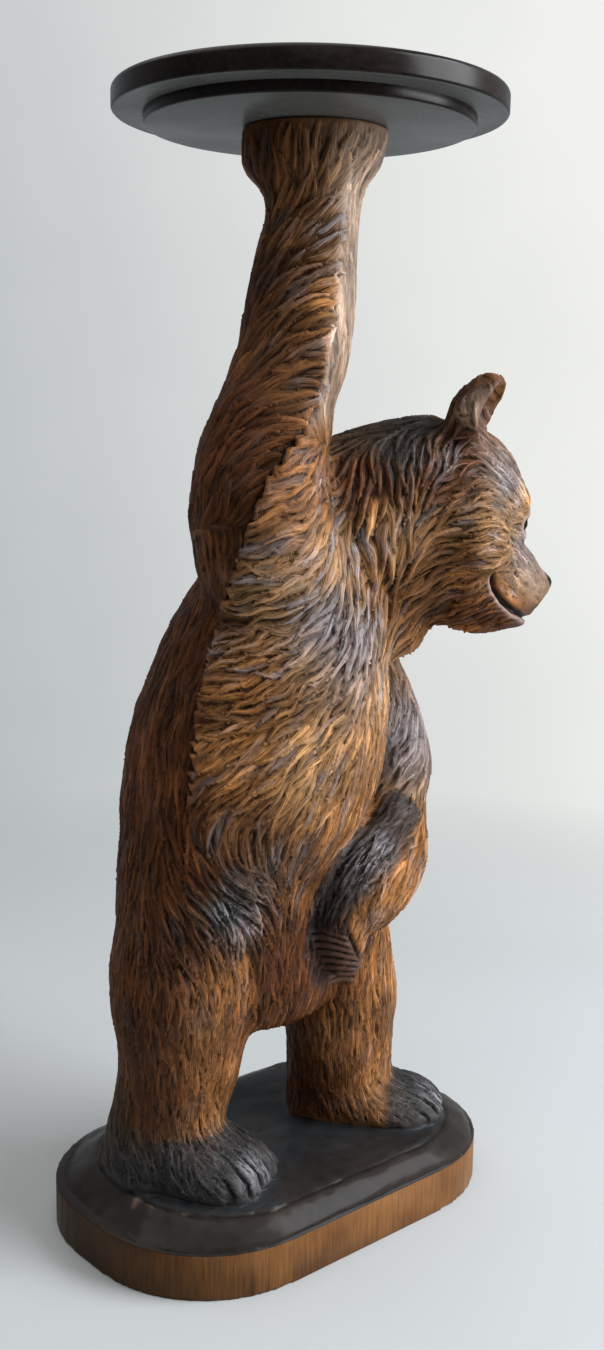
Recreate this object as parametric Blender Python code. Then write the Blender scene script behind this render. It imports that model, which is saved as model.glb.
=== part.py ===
"""A carved wooden bear on its plinth, with a round turned plate on its raised right paw.

Metres, +Z up. The origin is the centre of the plinth's underside, and the plinth is
longest along X. Run it with: blender --background --python part.py
"""

import math

import bmesh
import bpy
import numpy as np
from mathutils import Matrix, Vector, kdtree

# Driving dimensions
FIGURE_HEIGHT = 0.5437  # from the plinth's ground up to the top of the raised paw
PLINTH_LENGTH = 0.2504
PLINTH_WIDTH = 0.1640
PLINTH_CORNER_RADIUS = 0.0702
PLINTH_BAND_HEIGHT = 0.0243  # the smooth band at the foot of the plinth
PLINTH_EDGE_HEIGHT = 0.0137  # the gouged edge above the band, up to the ground
PLINTH_EDGE_WIDTHS = (0.0250, 0.0300, 0.0210, 0.0120)  # at the right end, back, left end, front
PLATE_RADIUS = 0.1010
PLATE_THICKNESS = 0.0120
PLATE_TOP_ROUND = 0.0030
PLATE_BOTTOM_ROUND = 0.0015
PLATE_STEP_INSET = 0.0160  # how far the step under the plate stays inside its edge
PLATE_STEP_THICKNESS = 0.0060
PLATE_BEHIND_PAW = 0.0027  # the plate's centre is this far behind the paw's
FIT_GAP = 0.0003  # between the paw and the plate

PLINTH_HEIGHT = PLINTH_BAND_HEIGHT + PLINTH_EDGE_HEIGHT
PAW_TOP = PLINTH_HEIGHT + FIGURE_HEIGHT

# The figure's own frame is forward, left and up from the plinth's ground. Its stations
# are written for a figure 544 units tall, so that they are shares of its height.
UNIT = FIGURE_HEIGHT / 544.0
FIGURE_HEADING = math.radians(45.0)  # the chest turns this far to its left of the plinth's front
PAW_CENTRE = (15.0, -1.0)
ROOT_DEPTH = 8.0  # how deep the feet run into the plinth before they are joined to it

EDGE_SHARES = (0.04, 0.35, 0.7, 1.0)  # rows of gouge cuts across the plinth's edge
EDGE_HOLLOWS = (1.2, 1.2, 2.2, 0.6)  # the same four places; over 1 is hollow, under 1 bulges
GOUGE_DEPTH = 0.0009

# Fur: a place forward, left and up, and the way the fur runs there
FLOW = (
    ((-85, -10, 212), (0, 0, -1)),
    ((-60, -20, 292), (-0.3, 0, -1)),
    ((-10, -45, 442), (0.55, 0, 0.83)),
    ((38, -25, 462), (0.1, 0, 1)),
    ((10, -35, 532), (0, 0, 1)),
    ((20, -50, 352), (-0.8, 0, -0.5)),
    ((-10, -65, 292), (-0.85, 0, -0.5)),
    ((20, -60, 212), (-0.5, 0, -0.85)),
    ((60, 10, 262), (0, 0, -1)),
    ((-40, -75, 152), (0.5, 0, -0.85)),
    ((-45, -85, 82), (0.05, 0, -1)),
    ((-20, -80, 22), (0.95, -0.3, -0.3)),
    ((60, 30, 62), (0, 0, -1)),
    ((80, 30, 17), (1, 0, -0.3)),
    ((60, -20, 362), (-0.15, 0, -1)),
    ((105, -15, 337), (-1, 0, -0.15)),
    ((120, 0, 382), (-0.8, 0, 0.5)),
    ((60, 75, 262), (0, 0, -1)),
    ((70, 20, 152), (-0.5, -0.7, -0.5)),
    ((-10, 55, 232), (-0.3, 0, -0.95)),
)
FLOW_BLEND = 8.0  # how softly one place's direction turns into the next one's
LOCK_SPACING = 15.0
LOCK_LENGTH = 34.0
LOCK_HALF_WIDTH = 8.0
LOCK_RELIEF = 2.6
LOCK_SWING = 0.3  # how far a lock may turn from the fur's direction, in radians
LOCK_FACING = 0.3  # a lock covers only skin that faces its way at least this much
LOCK_NEIGHBOURS = 9  # how many locks may lie over one point

# Where the locks are weak or left out: a radius, and the distance over which they come in
FUR_GROUND = (14.0, 30.0)
FUR_GROUND_LEAST = 0.25
FUR_PAW_TOP = (3.0, 12.0)
BARE_FACE_CENTRE = (24.0, 0.0, -8.0)  # in the head's frame
BARE_FACE = (26.0, 40.0)
BARE_PAW_CENTRE = (37.0, -24.0, 112.0)
BARE_PAW = (14.0, 12.0)
BARE_EAR = (18.0, 10.0)

# The saw-toothed seam where two runs of fur meet on the near side: forward, up
SEAM = ((35, 528), (29, 476), (24, 418), (-2, 368), (-29, 287), (-39, 203), (-41, 160))
SEAM_TURNS_AT = 402.0  # above this the fur behind the seam stands proud, below it the other side
SEAM_TOOTH = 14.0
SEAM_WANDER = 3.5
SEAM_RELIEF = 3.5
SEAM_REACH = 26.0  # how far from the seam its proud side falls away
SEAM_STEP = 1.5  # how wide the steep side of the teeth is
SEAM_LOW_END = 25.0  # over these heights it comes in, goes out and changes sides
SEAM_HIGH_END = 12.0
SEAM_TURN = 10.0
SEAM_LEFT = -14.0  # it stays this far out to the near side, and no further forward than this:
SEAM_FORWARD = 60.0

# Cut features, in the head's frame or the figure's
MOUTH = ((8, -41), (13, -46), (21, -49.5), (31, -50.5), (41, -50), (49, -48.5))  # forward, up
MOUTH_HALF_WIDTH = 2.2
MOUTH_DEPTH = 3.0
MOUTH_BACK = 4.0  # it is cut ahead of this
FACE_HALF_WIDTH = 32.0
EYE_RIM = 5.5
EYE_RIM_HALF_WIDTH = 2.0
EYE_RIM_DEPTH = 1.6
TOE_WIDTH = 11.0
TOE_SPREAD = (0.75, 0.35)  # the toes' width at their roots, and what they gain to their tips
TOE_CUT_HALF_WIDTH = 2.0
TOE_CUT_DEPTH = 3.2
TOE_CUT_TOP = 26.0
FOOT_HALF_WIDTH = 32.0
RIGHT_TOES = ((-24, -65), (4, -73))  # forward, left of where the toes begin and end
LEFT_TOES = ((66, 28), (98, 30))
FINGER_WIDTH = 6.0
FINGER_SLANT = 0.35
FINGER_CUT_HALF_WIDTH = 1.6
FINGER_CUT_DEPTH = 1.8
FINGERS = ((24, 46), (-44, -16), (96, 126))  # from and to, forward, left and up

# Fineness of the carving
VOXEL = 2.2 * UNIT
RING_POINTS = 24
FIGURE_TRIANGLES = 8000
PLATE_POINTS = 64

# Body forms: forward, left, up, half across, half deep, turn of the ring in degrees
TORSO = (
    (-10, -4, 74, 54, 36, 35),
    (-18, -7, 97, 66, 49, 32),
    (-26, -8, 122, 73, 54, 24),
    (-28, -8, 148, 73, 56, 17),
    (-24, -8, 167, 71, 61, 13),
    (-19, -7, 182, 70, 66, 10),
    (-14, -5, 207, 68, 71, 7),
    (-10, -3, 237, 66, 70, 4),
    (-5, 0, 267, 64, 64, 0),
    (3, 4, 297, 62, 59, -3),
    (13, 8, 330, 54, 46, 0),
    (18, 10, 357, 36, 34, 0),
)
RAISED_ARM = (
    (4, -18, 292, 38, 36, 0),
    (-2, -32, 322, 37, 40, 0),
    (-7, -37, 346, 36, 37.5, 0),
    (-8.5, -36, 366, 35, 34.5, 0),
    (-7, -31, 385, 33, 33.5, 0),
    (-2.5, -27, 402, 32, 32, 0),
    (3.5, -22, 418, 30, 31, 0),
    (8, -18, 436, 29, 30, 0),
    (10, -13, 457, 28, 29, 0),
    (12, -9, 478, 26, 27, 0),
    (14.5, -6, 500, 25, 25, 0),
    (15, -5, 512, 25, 25.5, 0),
    (12.5, -3, 519, 30, 31, 0),
    (13, -2, 526, 34, 36, 0),
    (PAW_CENTRE[0], PAW_CENTRE[1], 538, 36, 37.5, 0),
    (PAW_CENTRE[0], PAW_CENTRE[1], 552, 36, 38, 0),
)
LOWERED_ARM = (
    (12, 36, 332, 16, 18, 0),
    (15, 41, 320, 25, 29, 0),
    (20, 46, 300, 32, 36, 0),
    (32, 52, 278, 28, 29, 0),
    (45, 53, 252, 24, 26, 0),
    (57, 51, 222, 23, 26, 0),
    (63, 48, 197, 22, 24, 0),
    (61, 43, 178, 20, 20, 0),
)
FOREARM = (
    (60, 46, 192, 18, 18, 0),
    (62, 40, 182, 22, 21, 0),
    (60, 29, 166, 25, 26, 0),
    (55, 12, 153, 26.5, 28, 0),
    (46, -6, 141, 24.5, 25, 0),
    (38, -16, 131, 19, 19, 0),
    (37, -21, 118, 15, 14.5, 0),
    (40, -23, 108, 11, 12.5, 0),
    (43, -24, 101, 7, 8, 0),
)
RIGHT_LEG = (
    (-24, -20, 196, 24, 26, 0),
    (-30, -25, 174, 38, 36, 0),
    (-36, -32, 152, 43, 40, 0),
    (-41, -38, 130, 42, 42, 0),
    (-44, -43, 104, 40, 41.5, 0),
    (-45, -46, 89, 38, 39.5, 0),
    (-46, -48, 67, 35, 34, 0),
    (-49, -49, 44, 32, 32, 0),
    (-55, -52, 24, 30, 30.5, 0),
    (-56, -54, 12, 30, 31, 0),
    (-56, -55, -ROOT_DEPTH, 30, 31, 0),
)
LEFT_LEG = (
    (-6, 10, 176, 26, 26, 0),
    (2, 14, 156, 36, 38, 0),
    (16, 20, 130, 42, 43, 0),
    (25, 26, 104, 40, 40, 0),
    (32, 29, 82, 36, 36.5, 0),
    (36, 30, 65, 33, 34, 0),
    (36, 30, 40, 32, 32, 0),
    (36, 30, 21, 31, 31, 0),
    (36, 31, 7, 31, 31, 0),
    (36, 31, -ROOT_DEPTH, 31, 31, 0),
)
RIGHT_FOOT = (
    (-86, -43, 2, 16, 13, 0),
    (-68, -49, 6, 26, 20, 0),
    (-46, -57, 8, 30, 21, 0),
    (-24, -65, 8, 31, 20, 0),
    (-10, -69, 4, 29, 15.5, 0),
    (0, -72, 1, 23, 11, 0),
    (4, -73, -2, 14, 7, 0),
)
LEFT_FOOT = (
    (8, 26, 2, 18, 13, 0),
    (28, 28, 8, 28, 19, 0),
    (50, 28, 8, 32, 19, 0),
    (66, 28, 4, 32, 17, 0),
    (82, 29, 1, 30, 14.5, 0),
    (93, 30, 0, 24, 9.5, 0),
    (98, 30, -2, 15, 6, 0),
)
NECK = (
    (10, 6, 328, 46, 47, 0),
    (40, 12, 341, 46, 51, 0),
    (62, 17, 345, 46, 55, 0),
    (80, 21, 347, 45, 56.5, 0),
    (92, 24, 348, 39, 50, 0),
)
THROAT = (62, 14, 298, 20, 28, 28)

# The head's own frame: forward along the muzzle, left, up
HEAD_CENTRE = Vector((98.0, 24.0, 350.0))
HEAD_TURN = math.radians(26.0)  # to its left
HEAD_NOD = math.radians(18.0)
HEAD_TILT = math.radians(18.0)  # its left side lower
SKULL = (
    (-30, 0, -3, 37, 46, 0),
    (-15, 0, -2, 42, 49, 0),
    (-1, 0, -3, 42, 50, 0),
    (10, 0, -5, 39, 46.5, 0),
    (18, 0, -6, 34, 41, 0),
    (24, 0, -6, 28, 35, 0),
    (29, 0, -6, 20, 29, 0),
    (33, 0, -6, 11, 20, 0),
)
MUZZLE = (
    (14, 0, -23, 27, 27, 0),
    (29, 0, -28, 22.5, 23, 0),
    (38, 0, -29, 20.5, 21, 0),
    (47, 0, -31, 18, 17, 0),
    (54, 0, -29.5, 14.5, 12.8, 0),
    (58.5, 0, -27, 10.5, 9, 0),
    (61.5, 0, -24, 6, 4.5, 0),
)
JAW = (
    (-4, 0, -45, 27, 18, 0),
    (10, 0, -46, 25, 17, 0),
    (20, 0, -47.5, 22, 15, 0),
    (30, 0, -48, 18, 12.5, 0),
    (40, 0, -47, 13, 9, 0),
    (46, 0, -47, 9, 5.5, 0),
    (48.5, 0, -47, 5, 3, 0),
)
BROW = (25, 13, 8, 8, 9, 7)
EYE = (28.5, 14, -1, 3.5, 3.5, 3.5)
CHEEK = (-4, 34, -20, 17, 10, 26)
EAR_PLACE = Vector((-24.0, 37.0, 41.0))  # of the left ear, and of the right one mirrored
EAR_HALF = Vector((14.5, 14.0, 21.0))
EAR_HOLLOW_HALF = Vector((12.0, 10.5, 15.5))
EAR_HOLLOW_OFFSET = (10.0, 2.0)  # forward and up from the ear's centre
EAR_TURN = math.radians(40.0)
EAR_LEAN = math.radians(18.0)


def clear_scene():
    for old in list(bpy.data.objects):
        bpy.data.objects.remove(old, do_unlink=True)


def material(name, colour, roughness):
    """A plain wood finish."""
    made = bpy.data.materials.new(name)
    made.use_nodes = True
    shader = made.node_tree.nodes["Principled BSDF"]
    shader.inputs["Base Color"].default_value = (*colour, 1.0)
    shader.inputs["Roughness"].default_value = roughness
    shader.inputs["Metallic"].default_value = 0.0
    return made


def new_object(name, mesh):
    made = bpy.data.objects.new(name, mesh)
    bpy.context.scene.collection.objects.link(made)
    return made


def evaluated_mesh(obj):
    """The object's mesh with its modifiers applied, as a new mesh."""
    bpy.context.view_layer.update()
    graph = bpy.context.evaluated_depsgraph_get()
    return bpy.data.meshes.new_from_object(obj.evaluated_get(graph))


def remove_object(obj):
    mesh = obj.data
    bpy.data.objects.remove(obj, do_unlink=True)
    bpy.data.meshes.remove(mesh)


def loft(shape, rings):
    """Joins rings of points, all of one length, and closes both ends."""
    rows = []
    for ring in rings:
        rows.append([shape.verts.new(point) for point in ring])
    count = len(rows[0])
    for low, high in zip(rows, rows[1:]):
        for i in range(count):
            j = (i + 1) % count
            shape.faces.new((low[i], low[j], high[j], high[i]))
    shape.faces.new(list(reversed(rows[0])))
    shape.faces.new(rows[-1])


def finish_mesh(shape, name):
    bmesh.ops.recalc_face_normals(shape, faces=shape.faces)
    mesh = bpy.data.meshes.new(name)
    shape.to_mesh(mesh)
    shape.free()
    return mesh


def curve_through(stations, steps=4):
    """Stations read along a Catmull-Rom curve through the given ones."""
    given = np.array(stations, dtype=float)
    padded = np.vstack((2 * given[0] - given[1], given, 2 * given[-1] - given[-2]))
    made = []
    for a, b, c, d in zip(padded, padded[1:], padded[2:], padded[3:]):
        for step in range(steps):
            t = step / steps
            cubic = (d - a + 3 * (b - c)) * t**3 + (2 * a - 5 * b + 4 * c - d) * t**2
            made.append(0.5 * (cubic + (c - a) * t + 2 * b))
    made.append(given[-1])
    return np.array(made)


def tube_rings(stations, ahead=None, across=(0.0, 1.0, 0.0)):
    """Elliptical rings along the stations, square to ahead or else to the path itself.

    across says which way the rings' width runs.
    """
    dense = curve_through(stations)
    path = dense[:, :3]
    if ahead is None:
        heading = np.gradient(path, axis=0)
    else:
        heading = np.tile(np.array(ahead, dtype=float), (len(path), 1))
    heading /= np.linalg.norm(heading, axis=1, keepdims=True)
    rings = []
    for centre, along, (half_wide, half_deep, turn) in zip(path, heading, dense[:, 3:]):
        wide = np.array(across) - along * np.dot(along, across)
        wide /= np.linalg.norm(wide)
        deep = np.cross(wide, along)
        cos_turn, sin_turn = math.cos(math.radians(turn)), math.sin(math.radians(turn))
        wide, deep = wide * cos_turn + deep * sin_turn, deep * cos_turn - wide * sin_turn
        ring = []
        for i in range(RING_POINTS):
            angle = math.tau * i / RING_POINTS
            offset = wide * half_wide * math.cos(angle) + deep * half_deep * math.sin(angle)
            ring.append(Vector(centre + offset))
        rings.append(ring)
    return rings


def add_ball(shape, centre, half, turn=Matrix.Identity(3)):
    """An ellipsoid; turn is a 3x3 rotation."""
    place = Matrix.Translation(centre) @ turn.to_4x4() @ Matrix.Diagonal((*half, 1.0))
    bmesh.ops.create_icosphere(shape, subdivisions=3, radius=1.0, matrix=place)


def head_frame():
    turn = Matrix.Rotation(HEAD_TURN, 4, "Z") @ Matrix.Rotation(HEAD_NOD, 4, "Y")
    return Matrix.Translation(HEAD_CENTRE) @ turn @ Matrix.Rotation(-HEAD_TILT, 4, "X")


def ear_mesh(side):
    """One ear: a pointed cup, open to the front, as an ellipsoid less a smaller one."""
    turn = Matrix.Rotation(side * EAR_TURN, 3, "Z") @ Matrix.Rotation(EAR_LEAN, 3, "Y")
    place = Vector((EAR_PLACE.x, side * EAR_PLACE.y, EAR_PLACE.z))
    outer = bmesh.new()
    add_ball(outer, place, EAR_HALF, turn)
    inner = bmesh.new()
    ahead = turn @ Vector((EAR_HOLLOW_OFFSET[0], 0.0, EAR_HOLLOW_OFFSET[1]))
    add_ball(inner, place + ahead, EAR_HOLLOW_HALF, turn)
    ear = new_object("ear", finish_mesh(outer, "ear"))
    hollow = new_object("ear_hollow", finish_mesh(inner, "ear_hollow"))
    cut = ear.modifiers.new("hollow", "BOOLEAN")
    cut.operation = "DIFFERENCE"
    cut.object = hollow
    mesh = evaluated_mesh(ear)
    remove_object(ear)
    remove_object(hollow)
    return mesh


def rough_figure():
    """All body forms in one mesh, still running through each other."""
    shape = bmesh.new()
    for stations in (TORSO, RAISED_ARM, LOWERED_ARM, RIGHT_LEG, LEFT_LEG):
        loft(shape, tube_rings(stations, ahead=(0.0, 0.0, 1.0)))
    for stations in (RIGHT_FOOT, LEFT_FOOT):
        toes = Vector(stations[-1][:2]) - Vector(stations[0][:2])
        loft(shape, tube_rings(stations, ahead=(toes.x, toes.y, 0.0)))
    loft(shape, tube_rings(NECK))
    loft(shape, tube_rings(FOREARM, across=(0.0, 0.0, 1.0)))
    add_ball(shape, THROAT[:3], THROAT[3:])
    head = bmesh.new()
    for stations in (SKULL, MUZZLE, JAW):
        loft(head, tube_rings(stations, ahead=(1.0, 0.0, 0.0)))
    for side in (-1, 1):
        for forward, left, up, *half in (BROW, EYE, CHEEK):
            add_ball(head, (forward, side * left, up), half)
        mesh = ear_mesh(side)
        head.from_mesh(mesh)
        bpy.data.meshes.remove(mesh)
    mesh = finish_mesh(head, "head")
    mesh.transform(head_frame())
    shape.from_mesh(mesh)
    bpy.data.meshes.remove(mesh)
    mesh = finish_mesh(shape, "figure")
    mesh.transform(Matrix.Scale(UNIT, 4))
    return new_object("figure", mesh)


def blend_forms(figure):
    """Makes one skin of the forms, as soft where they meet as carved wood."""
    remesh = figure.modifiers.new("one skin", "REMESH")
    remesh.mode = "VOXEL"
    remesh.voxel_size = VOXEL
    soften = figure.modifiers.new("soften", "SMOOTH")
    soften.factor = 0.5
    soften.iterations = 8
    mesh = evaluated_mesh(figure)
    remove_object(figure)
    return new_object("figure", mesh)


def points_and_normals(mesh):
    points = np.empty(len(mesh.vertices) * 3)
    mesh.vertices.foreach_get("co", points)
    normals = np.empty(len(mesh.vertices) * 3)
    mesh.vertices.foreach_get("normal", normals)
    return points.reshape(-1, 3), normals.reshape(-1, 3)


def unit_rows(rows):
    return rows / np.maximum(np.linalg.norm(rows, axis=1, keepdims=True), 1e-9)


def fur_direction(points, normals):
    """The way the fur runs at each point, laid along the surface."""
    total = np.zeros_like(points)
    for place, direction in FLOW:
        distance = np.linalg.norm(points - np.array(place), axis=1, keepdims=True)
        total += np.array(direction) / (distance + FLOW_BLEND) ** 3
    total = unit_rows(total)
    total -= normals * np.sum(total * normals, axis=1, keepdims=True)
    return unit_rows(total)


def lock_roots(points, random):
    """One point out of each small cube that the skin passes through."""
    cells = {}
    for index in random.permutation(len(points)):
        cells[tuple(np.floor(points[index] / LOCK_SPACING).astype(int))] = index
    return sorted(cells.values())


def lock_height(along, across):
    """A lock's height from 0 to 1: it rises from its root to a pointed tip."""
    share = along / LOCK_LENGTH + 0.5
    inside = (share > 0.0) & (share < 1.0)
    share = np.clip(share, 0.0, 1.0)
    half_width = LOCK_HALF_WIDTH * (1.0 - share**3) * (0.5 + 0.5 * np.minimum(1.0, 4 * share))
    profile = 1.0 - (across / np.maximum(half_width, 0.1)) ** 2
    return np.where(inside & (profile > 0.0), share * np.sqrt(np.clip(profile, 0.0, 1.0)), 0.0)


def fur_locks(points, normals):
    """How far each point stands proud, as overlapping pointed locks."""
    random = np.random.default_rng(11)
    flow = fur_direction(points, normals)
    roots = lock_roots(points, random)
    tree = kdtree.KDTree(len(roots))
    for place, index in enumerate(roots):
        tree.insert(points[index], place)
    tree.balance()
    swing = random.uniform(-LOCK_SWING, LOCK_SWING, len(roots))
    centres = points[roots]
    along = flow[roots]
    across = unit_rows(np.cross(normals[roots], along))
    along = along * np.cos(swing)[:, None] + across * np.sin(swing)[:, None]
    across = unit_rows(np.cross(normals[roots], along))
    nearest = np.empty((len(points), LOCK_NEIGHBOURS), dtype=int)
    for row, point in enumerate(points):
        nearest[row] = [found[1] for found in tree.find_n(point, LOCK_NEIGHBOURS)]
    height = np.zeros(len(points))
    for column in nearest.T:
        offset = points - centres[column]
        facing = np.sum(normals * normals[roots][column], axis=1) > LOCK_FACING
        one = lock_height(np.sum(offset * along[column], axis=1), np.sum(offset * across[column], axis=1))
        height = np.maximum(height, np.where(facing, one, 0.0))
    return height


def seam_height(points, normals):
    """The saw-toothed seam up the near side, from 0 to 1."""
    ups = [up for _, up in reversed(SEAM)]
    line = np.interp(points[:, 2], ups, [forward for forward, _ in reversed(SEAM)])
    tooth = np.abs((points[:, 2] / SEAM_TOOTH) % 1.0 - 0.5) * 4.0 - 1.0
    beyond = points[:, 0] - line + SEAM_WANDER * tooth
    beyond = np.where(points[:, 2] > SEAM_TURNS_AT, -beyond, beyond)
    fall = np.clip(1.0 - beyond / SEAM_REACH, 0.0, 1.0)
    proud = np.where(beyond > 0.0, fall, np.clip(1.0 + beyond / SEAM_STEP, 0.0, 1.0))
    ends = np.clip((points[:, 2] - ups[0]) / SEAM_LOW_END, 0.0, 1.0)
    ends *= np.clip((ups[-1] - points[:, 2]) / SEAM_HIGH_END, 0.0, 1.0)
    turning = np.clip(np.abs(points[:, 2] - SEAM_TURNS_AT) / SEAM_TURN, 0.0, 1.0)
    near_side = np.clip(-normals[:, 1] * 3.0, 0.0, 1.0) * (points[:, 1] < SEAM_LEFT)
    return proud * ends * turning * near_side * (points[:, 0] < SEAM_FORWARD)


def distance_to_line(points, line):
    """The distance of each point of a plane to a run of straight pieces."""
    nearest = np.full(len(points), np.inf)
    for start, end in zip(np.array(line[:-1], dtype=float), np.array(line[1:], dtype=float)):
        run = end - start
        share = np.clip((points - start) @ run / (run @ run), 0.0, 1.0)
        nearest = np.minimum(nearest, np.linalg.norm(points - start - share[:, None] * run, axis=1))
    return nearest


def toe_cuts(points, toes):
    """How deep the cuts between one foot's toes are at each point."""
    start, end = np.array(toes[0], dtype=float), np.array(toes[1], dtype=float)
    length = np.linalg.norm(end - start)
    ahead = (end - start) / length
    offset = points[:, :2] - start
    along = offset @ ahead / length
    across = offset @ np.array((-ahead[1], ahead[0]))
    spread = across / (TOE_SPREAD[0] + TOE_SPREAD[1] * np.clip(along, 0.0, 1.0))
    aside = np.abs((spread / TOE_WIDTH) % 1.0 - 0.5) * TOE_WIDTH
    groove = np.clip(1.0 - aside / TOE_CUT_HALF_WIDTH, 0.0, 1.0)
    ramp = np.clip(along * 1.6, 0.0, 1.0) * (points[:, 2] < TOE_CUT_TOP)
    return TOE_CUT_DEPTH * groove * ramp * (np.abs(across) < FOOT_HALF_WIDTH)


def cuts(points):
    """How deep the mouth, the eye rims and the cuts between fingers and toes are."""
    frame = np.array(head_frame().inverted())
    local = points @ frame[:3, :3].T + frame[:3, 3]
    head = (local[:, 0] > MOUTH_BACK) & (np.abs(local[:, 1]) < FACE_HALF_WIDTH) & (local[:, 2] < 0.0)
    mouth = distance_to_line(local[:, [0, 2]], MOUTH)
    depth = MOUTH_DEPTH * np.clip(1.5 - mouth / MOUTH_HALF_WIDTH, 0.0, 1.0) * head
    for side in (-1, 1):
        eye = np.array((EYE[0], side * EYE[1], EYE[2]))
        ring = np.abs(np.linalg.norm(local - eye, axis=1) - EYE_RIM)
        depth = np.maximum(depth, EYE_RIM_DEPTH * np.clip(1.0 - ring / EYE_RIM_HALF_WIDTH, 0.0, 1.0))
    for toes in (RIGHT_TOES, LEFT_TOES):
        depth = np.maximum(depth, toe_cuts(points, toes))
    paw = np.ones(len(points), dtype=bool)
    for axis, (start, end) in enumerate(FINGERS):
        paw &= (points[:, axis] > start) & (points[:, axis] < end)
    tilt = points[:, 2] + FINGER_SLANT * (points[:, 0] - FINGERS[0][0])
    aside = np.abs((tilt / FINGER_WIDTH) % 1.0 - 0.5) * FINGER_WIDTH
    groove = np.clip(1.0 - aside / FINGER_CUT_HALF_WIDTH, 0.0, 1.0)
    return np.maximum(depth, FINGER_CUT_DEPTH * groove * paw)


def come_in(distance, bounds):
    """0 up to a radius and 1 at a distance past it, for the two given as bounds."""
    return np.clip((distance - bounds[0]) / bounds[1], 0.0, 1.0)


def fur_depth(points):
    """How strong the locks are: none on the muzzle, the ears and the paws' ends."""
    frame = np.array(head_frame().inverted())
    local = points @ frame[:3, :3].T + frame[:3, 3]
    depth = np.maximum(come_in(points[:, 2], FUR_GROUND), FUR_GROUND_LEAST)
    below_top = FIGURE_HEIGHT / UNIT - FUR_PAW_TOP[0] - points[:, 2]
    depth *= come_in(below_top, (0.0, FUR_PAW_TOP[1]))
    depth *= come_in(np.linalg.norm(local - np.array(BARE_FACE_CENTRE), axis=1), BARE_FACE)
    depth *= come_in(np.linalg.norm(points - np.array(BARE_PAW_CENTRE), axis=1), BARE_PAW)
    for side in (-1, 1):
        ear = np.array((EAR_PLACE.x, side * EAR_PLACE.y, EAR_PLACE.z))
        depth *= come_in(np.linalg.norm(local - ear, axis=1), BARE_EAR)
    return depth


def carve(figure):
    """Cuts the fur, the seam, the face and the paws into the smooth skin."""
    points, normals = points_and_normals(figure.data)
    points /= UNIT
    moved = fur_depth(points) * LOCK_RELIEF * (fur_locks(points, normals) - 0.5)
    moved += SEAM_RELIEF * seam_height(points, normals)
    moved -= cuts(points)
    points += normals * moved[:, None]
    figure.data.vertices.foreach_set("co", (points * UNIT).ravel())
    figure.data.update()


def lighten(figure):
    """Fewer triangles, most of them where the carving turns."""
    count = sum(len(face.vertices) - 2 for face in figure.data.polygons)
    fewer = figure.modifiers.new("fewer", "DECIMATE")
    fewer.ratio = min(1.0, FIGURE_TRIANGLES / count)
    mesh = evaluated_mesh(figure)
    remove_object(figure)
    return new_object("figure", mesh)


def stand_on_plinth(figure):
    """Turns the figure to its heading, lifts it to the ground and cuts the paw flat."""
    turn = Matrix.Rotation(FIGURE_HEADING - math.pi / 2, 4, "Z")
    figure.data.transform(Matrix.Translation((0.0, 0.0, PLINTH_HEIGHT)) @ turn)
    shape = bmesh.new()
    shape.from_mesh(figure.data)
    everything = list(shape.verts) + list(shape.edges) + list(shape.faces)
    cut = bmesh.ops.bisect_plane(
        shape,
        geom=everything,
        plane_co=(0.0, 0.0, PAW_TOP),
        plane_no=(0.0, 0.0, 1.0),
        clear_outer=True,
    )
    rim = [item for item in cut["geom_cut"] if isinstance(item, bmesh.types.BMEdge)]
    bmesh.ops.contextual_create(shape, geom=rim)
    shape.to_mesh(figure.data)
    shape.free()


def rounded_outline(half_length, half_width, radius, steps=10):
    """A rounded rectangle, anticlockwise from the middle of its right side."""
    radius = min(radius, half_length, half_width)
    points = []
    for corner in range(4):
        side_x = 1 if corner in (0, 3) else -1
        side_y = 1 if corner in (0, 1) else -1
        centre = Vector((side_x * (half_length - radius), side_y * (half_width - radius)))
        for step in range(steps + 1):
            angle = math.pi / 2 * (corner + step / steps)
            points.append(centre + radius * Vector((math.cos(angle), math.sin(angle))))
    return points


def by_direction(point, values):
    """Blends the values for the right end, back, left end and front at this outline point."""
    across, back = point.x / PLINTH_LENGTH, point.y / PLINTH_WIDTH
    weights = [max(0.0, side) ** 2 for side in (across, back, -across, -back)]
    return sum(weight * value for weight, value in zip(weights, values)) / sum(weights)


def plinth_rings(random):
    """The plinth's rings: a true band, a gouged edge and ground that was left uneven."""
    half_length, half_width = PLINTH_LENGTH / 2, PLINTH_WIDTH / 2
    outline = rounded_outline(half_length, half_width, PLINTH_CORNER_RADIUS)
    rings = [[Vector((point.x, point.y, 0.0)) for point in outline]]
    rings.append([Vector((point.x, point.y, PLINTH_BAND_HEIGHT)) for point in outline])
    for share in EDGE_SHARES:
        ring = []
        for point in outline:
            inset = by_direction(point, PLINTH_EDGE_WIDTHS) * share
            inner = point * (1.0 - (inset + GOUGE_DEPTH * random.uniform(0.0, 1.0)) / point.length)
            rise = PLINTH_EDGE_HEIGHT * share ** by_direction(point, EDGE_HOLLOWS)
            lift = GOUGE_DEPTH * random.uniform(-0.6, 0.6)
            ring.append(Vector((inner.x, inner.y, PLINTH_BAND_HEIGHT + rise + lift)))
        rings.append(ring)
    return rings


def build_plinth():
    shape = bmesh.new()
    loft(shape, plinth_rings(np.random.default_rng(5)))
    return new_object("plinth", finish_mesh(shape, "plinth"))


def build_bear(finish):
    """The bear and its plinth, one block of wood."""
    figure = blend_forms(rough_figure())
    carve(figure)
    figure = lighten(figure)
    stand_on_plinth(figure)
    plinth = build_plinth()
    join = figure.modifiers.new("plinth", "BOOLEAN")
    join.operation = "UNION"
    join.object = plinth
    mesh = evaluated_mesh(figure)
    remove_object(figure)
    remove_object(plinth)
    bear = new_object("carved_bear", mesh)
    bear.data.materials.clear()
    bear.data.materials.append(finish)
    return bear


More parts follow.
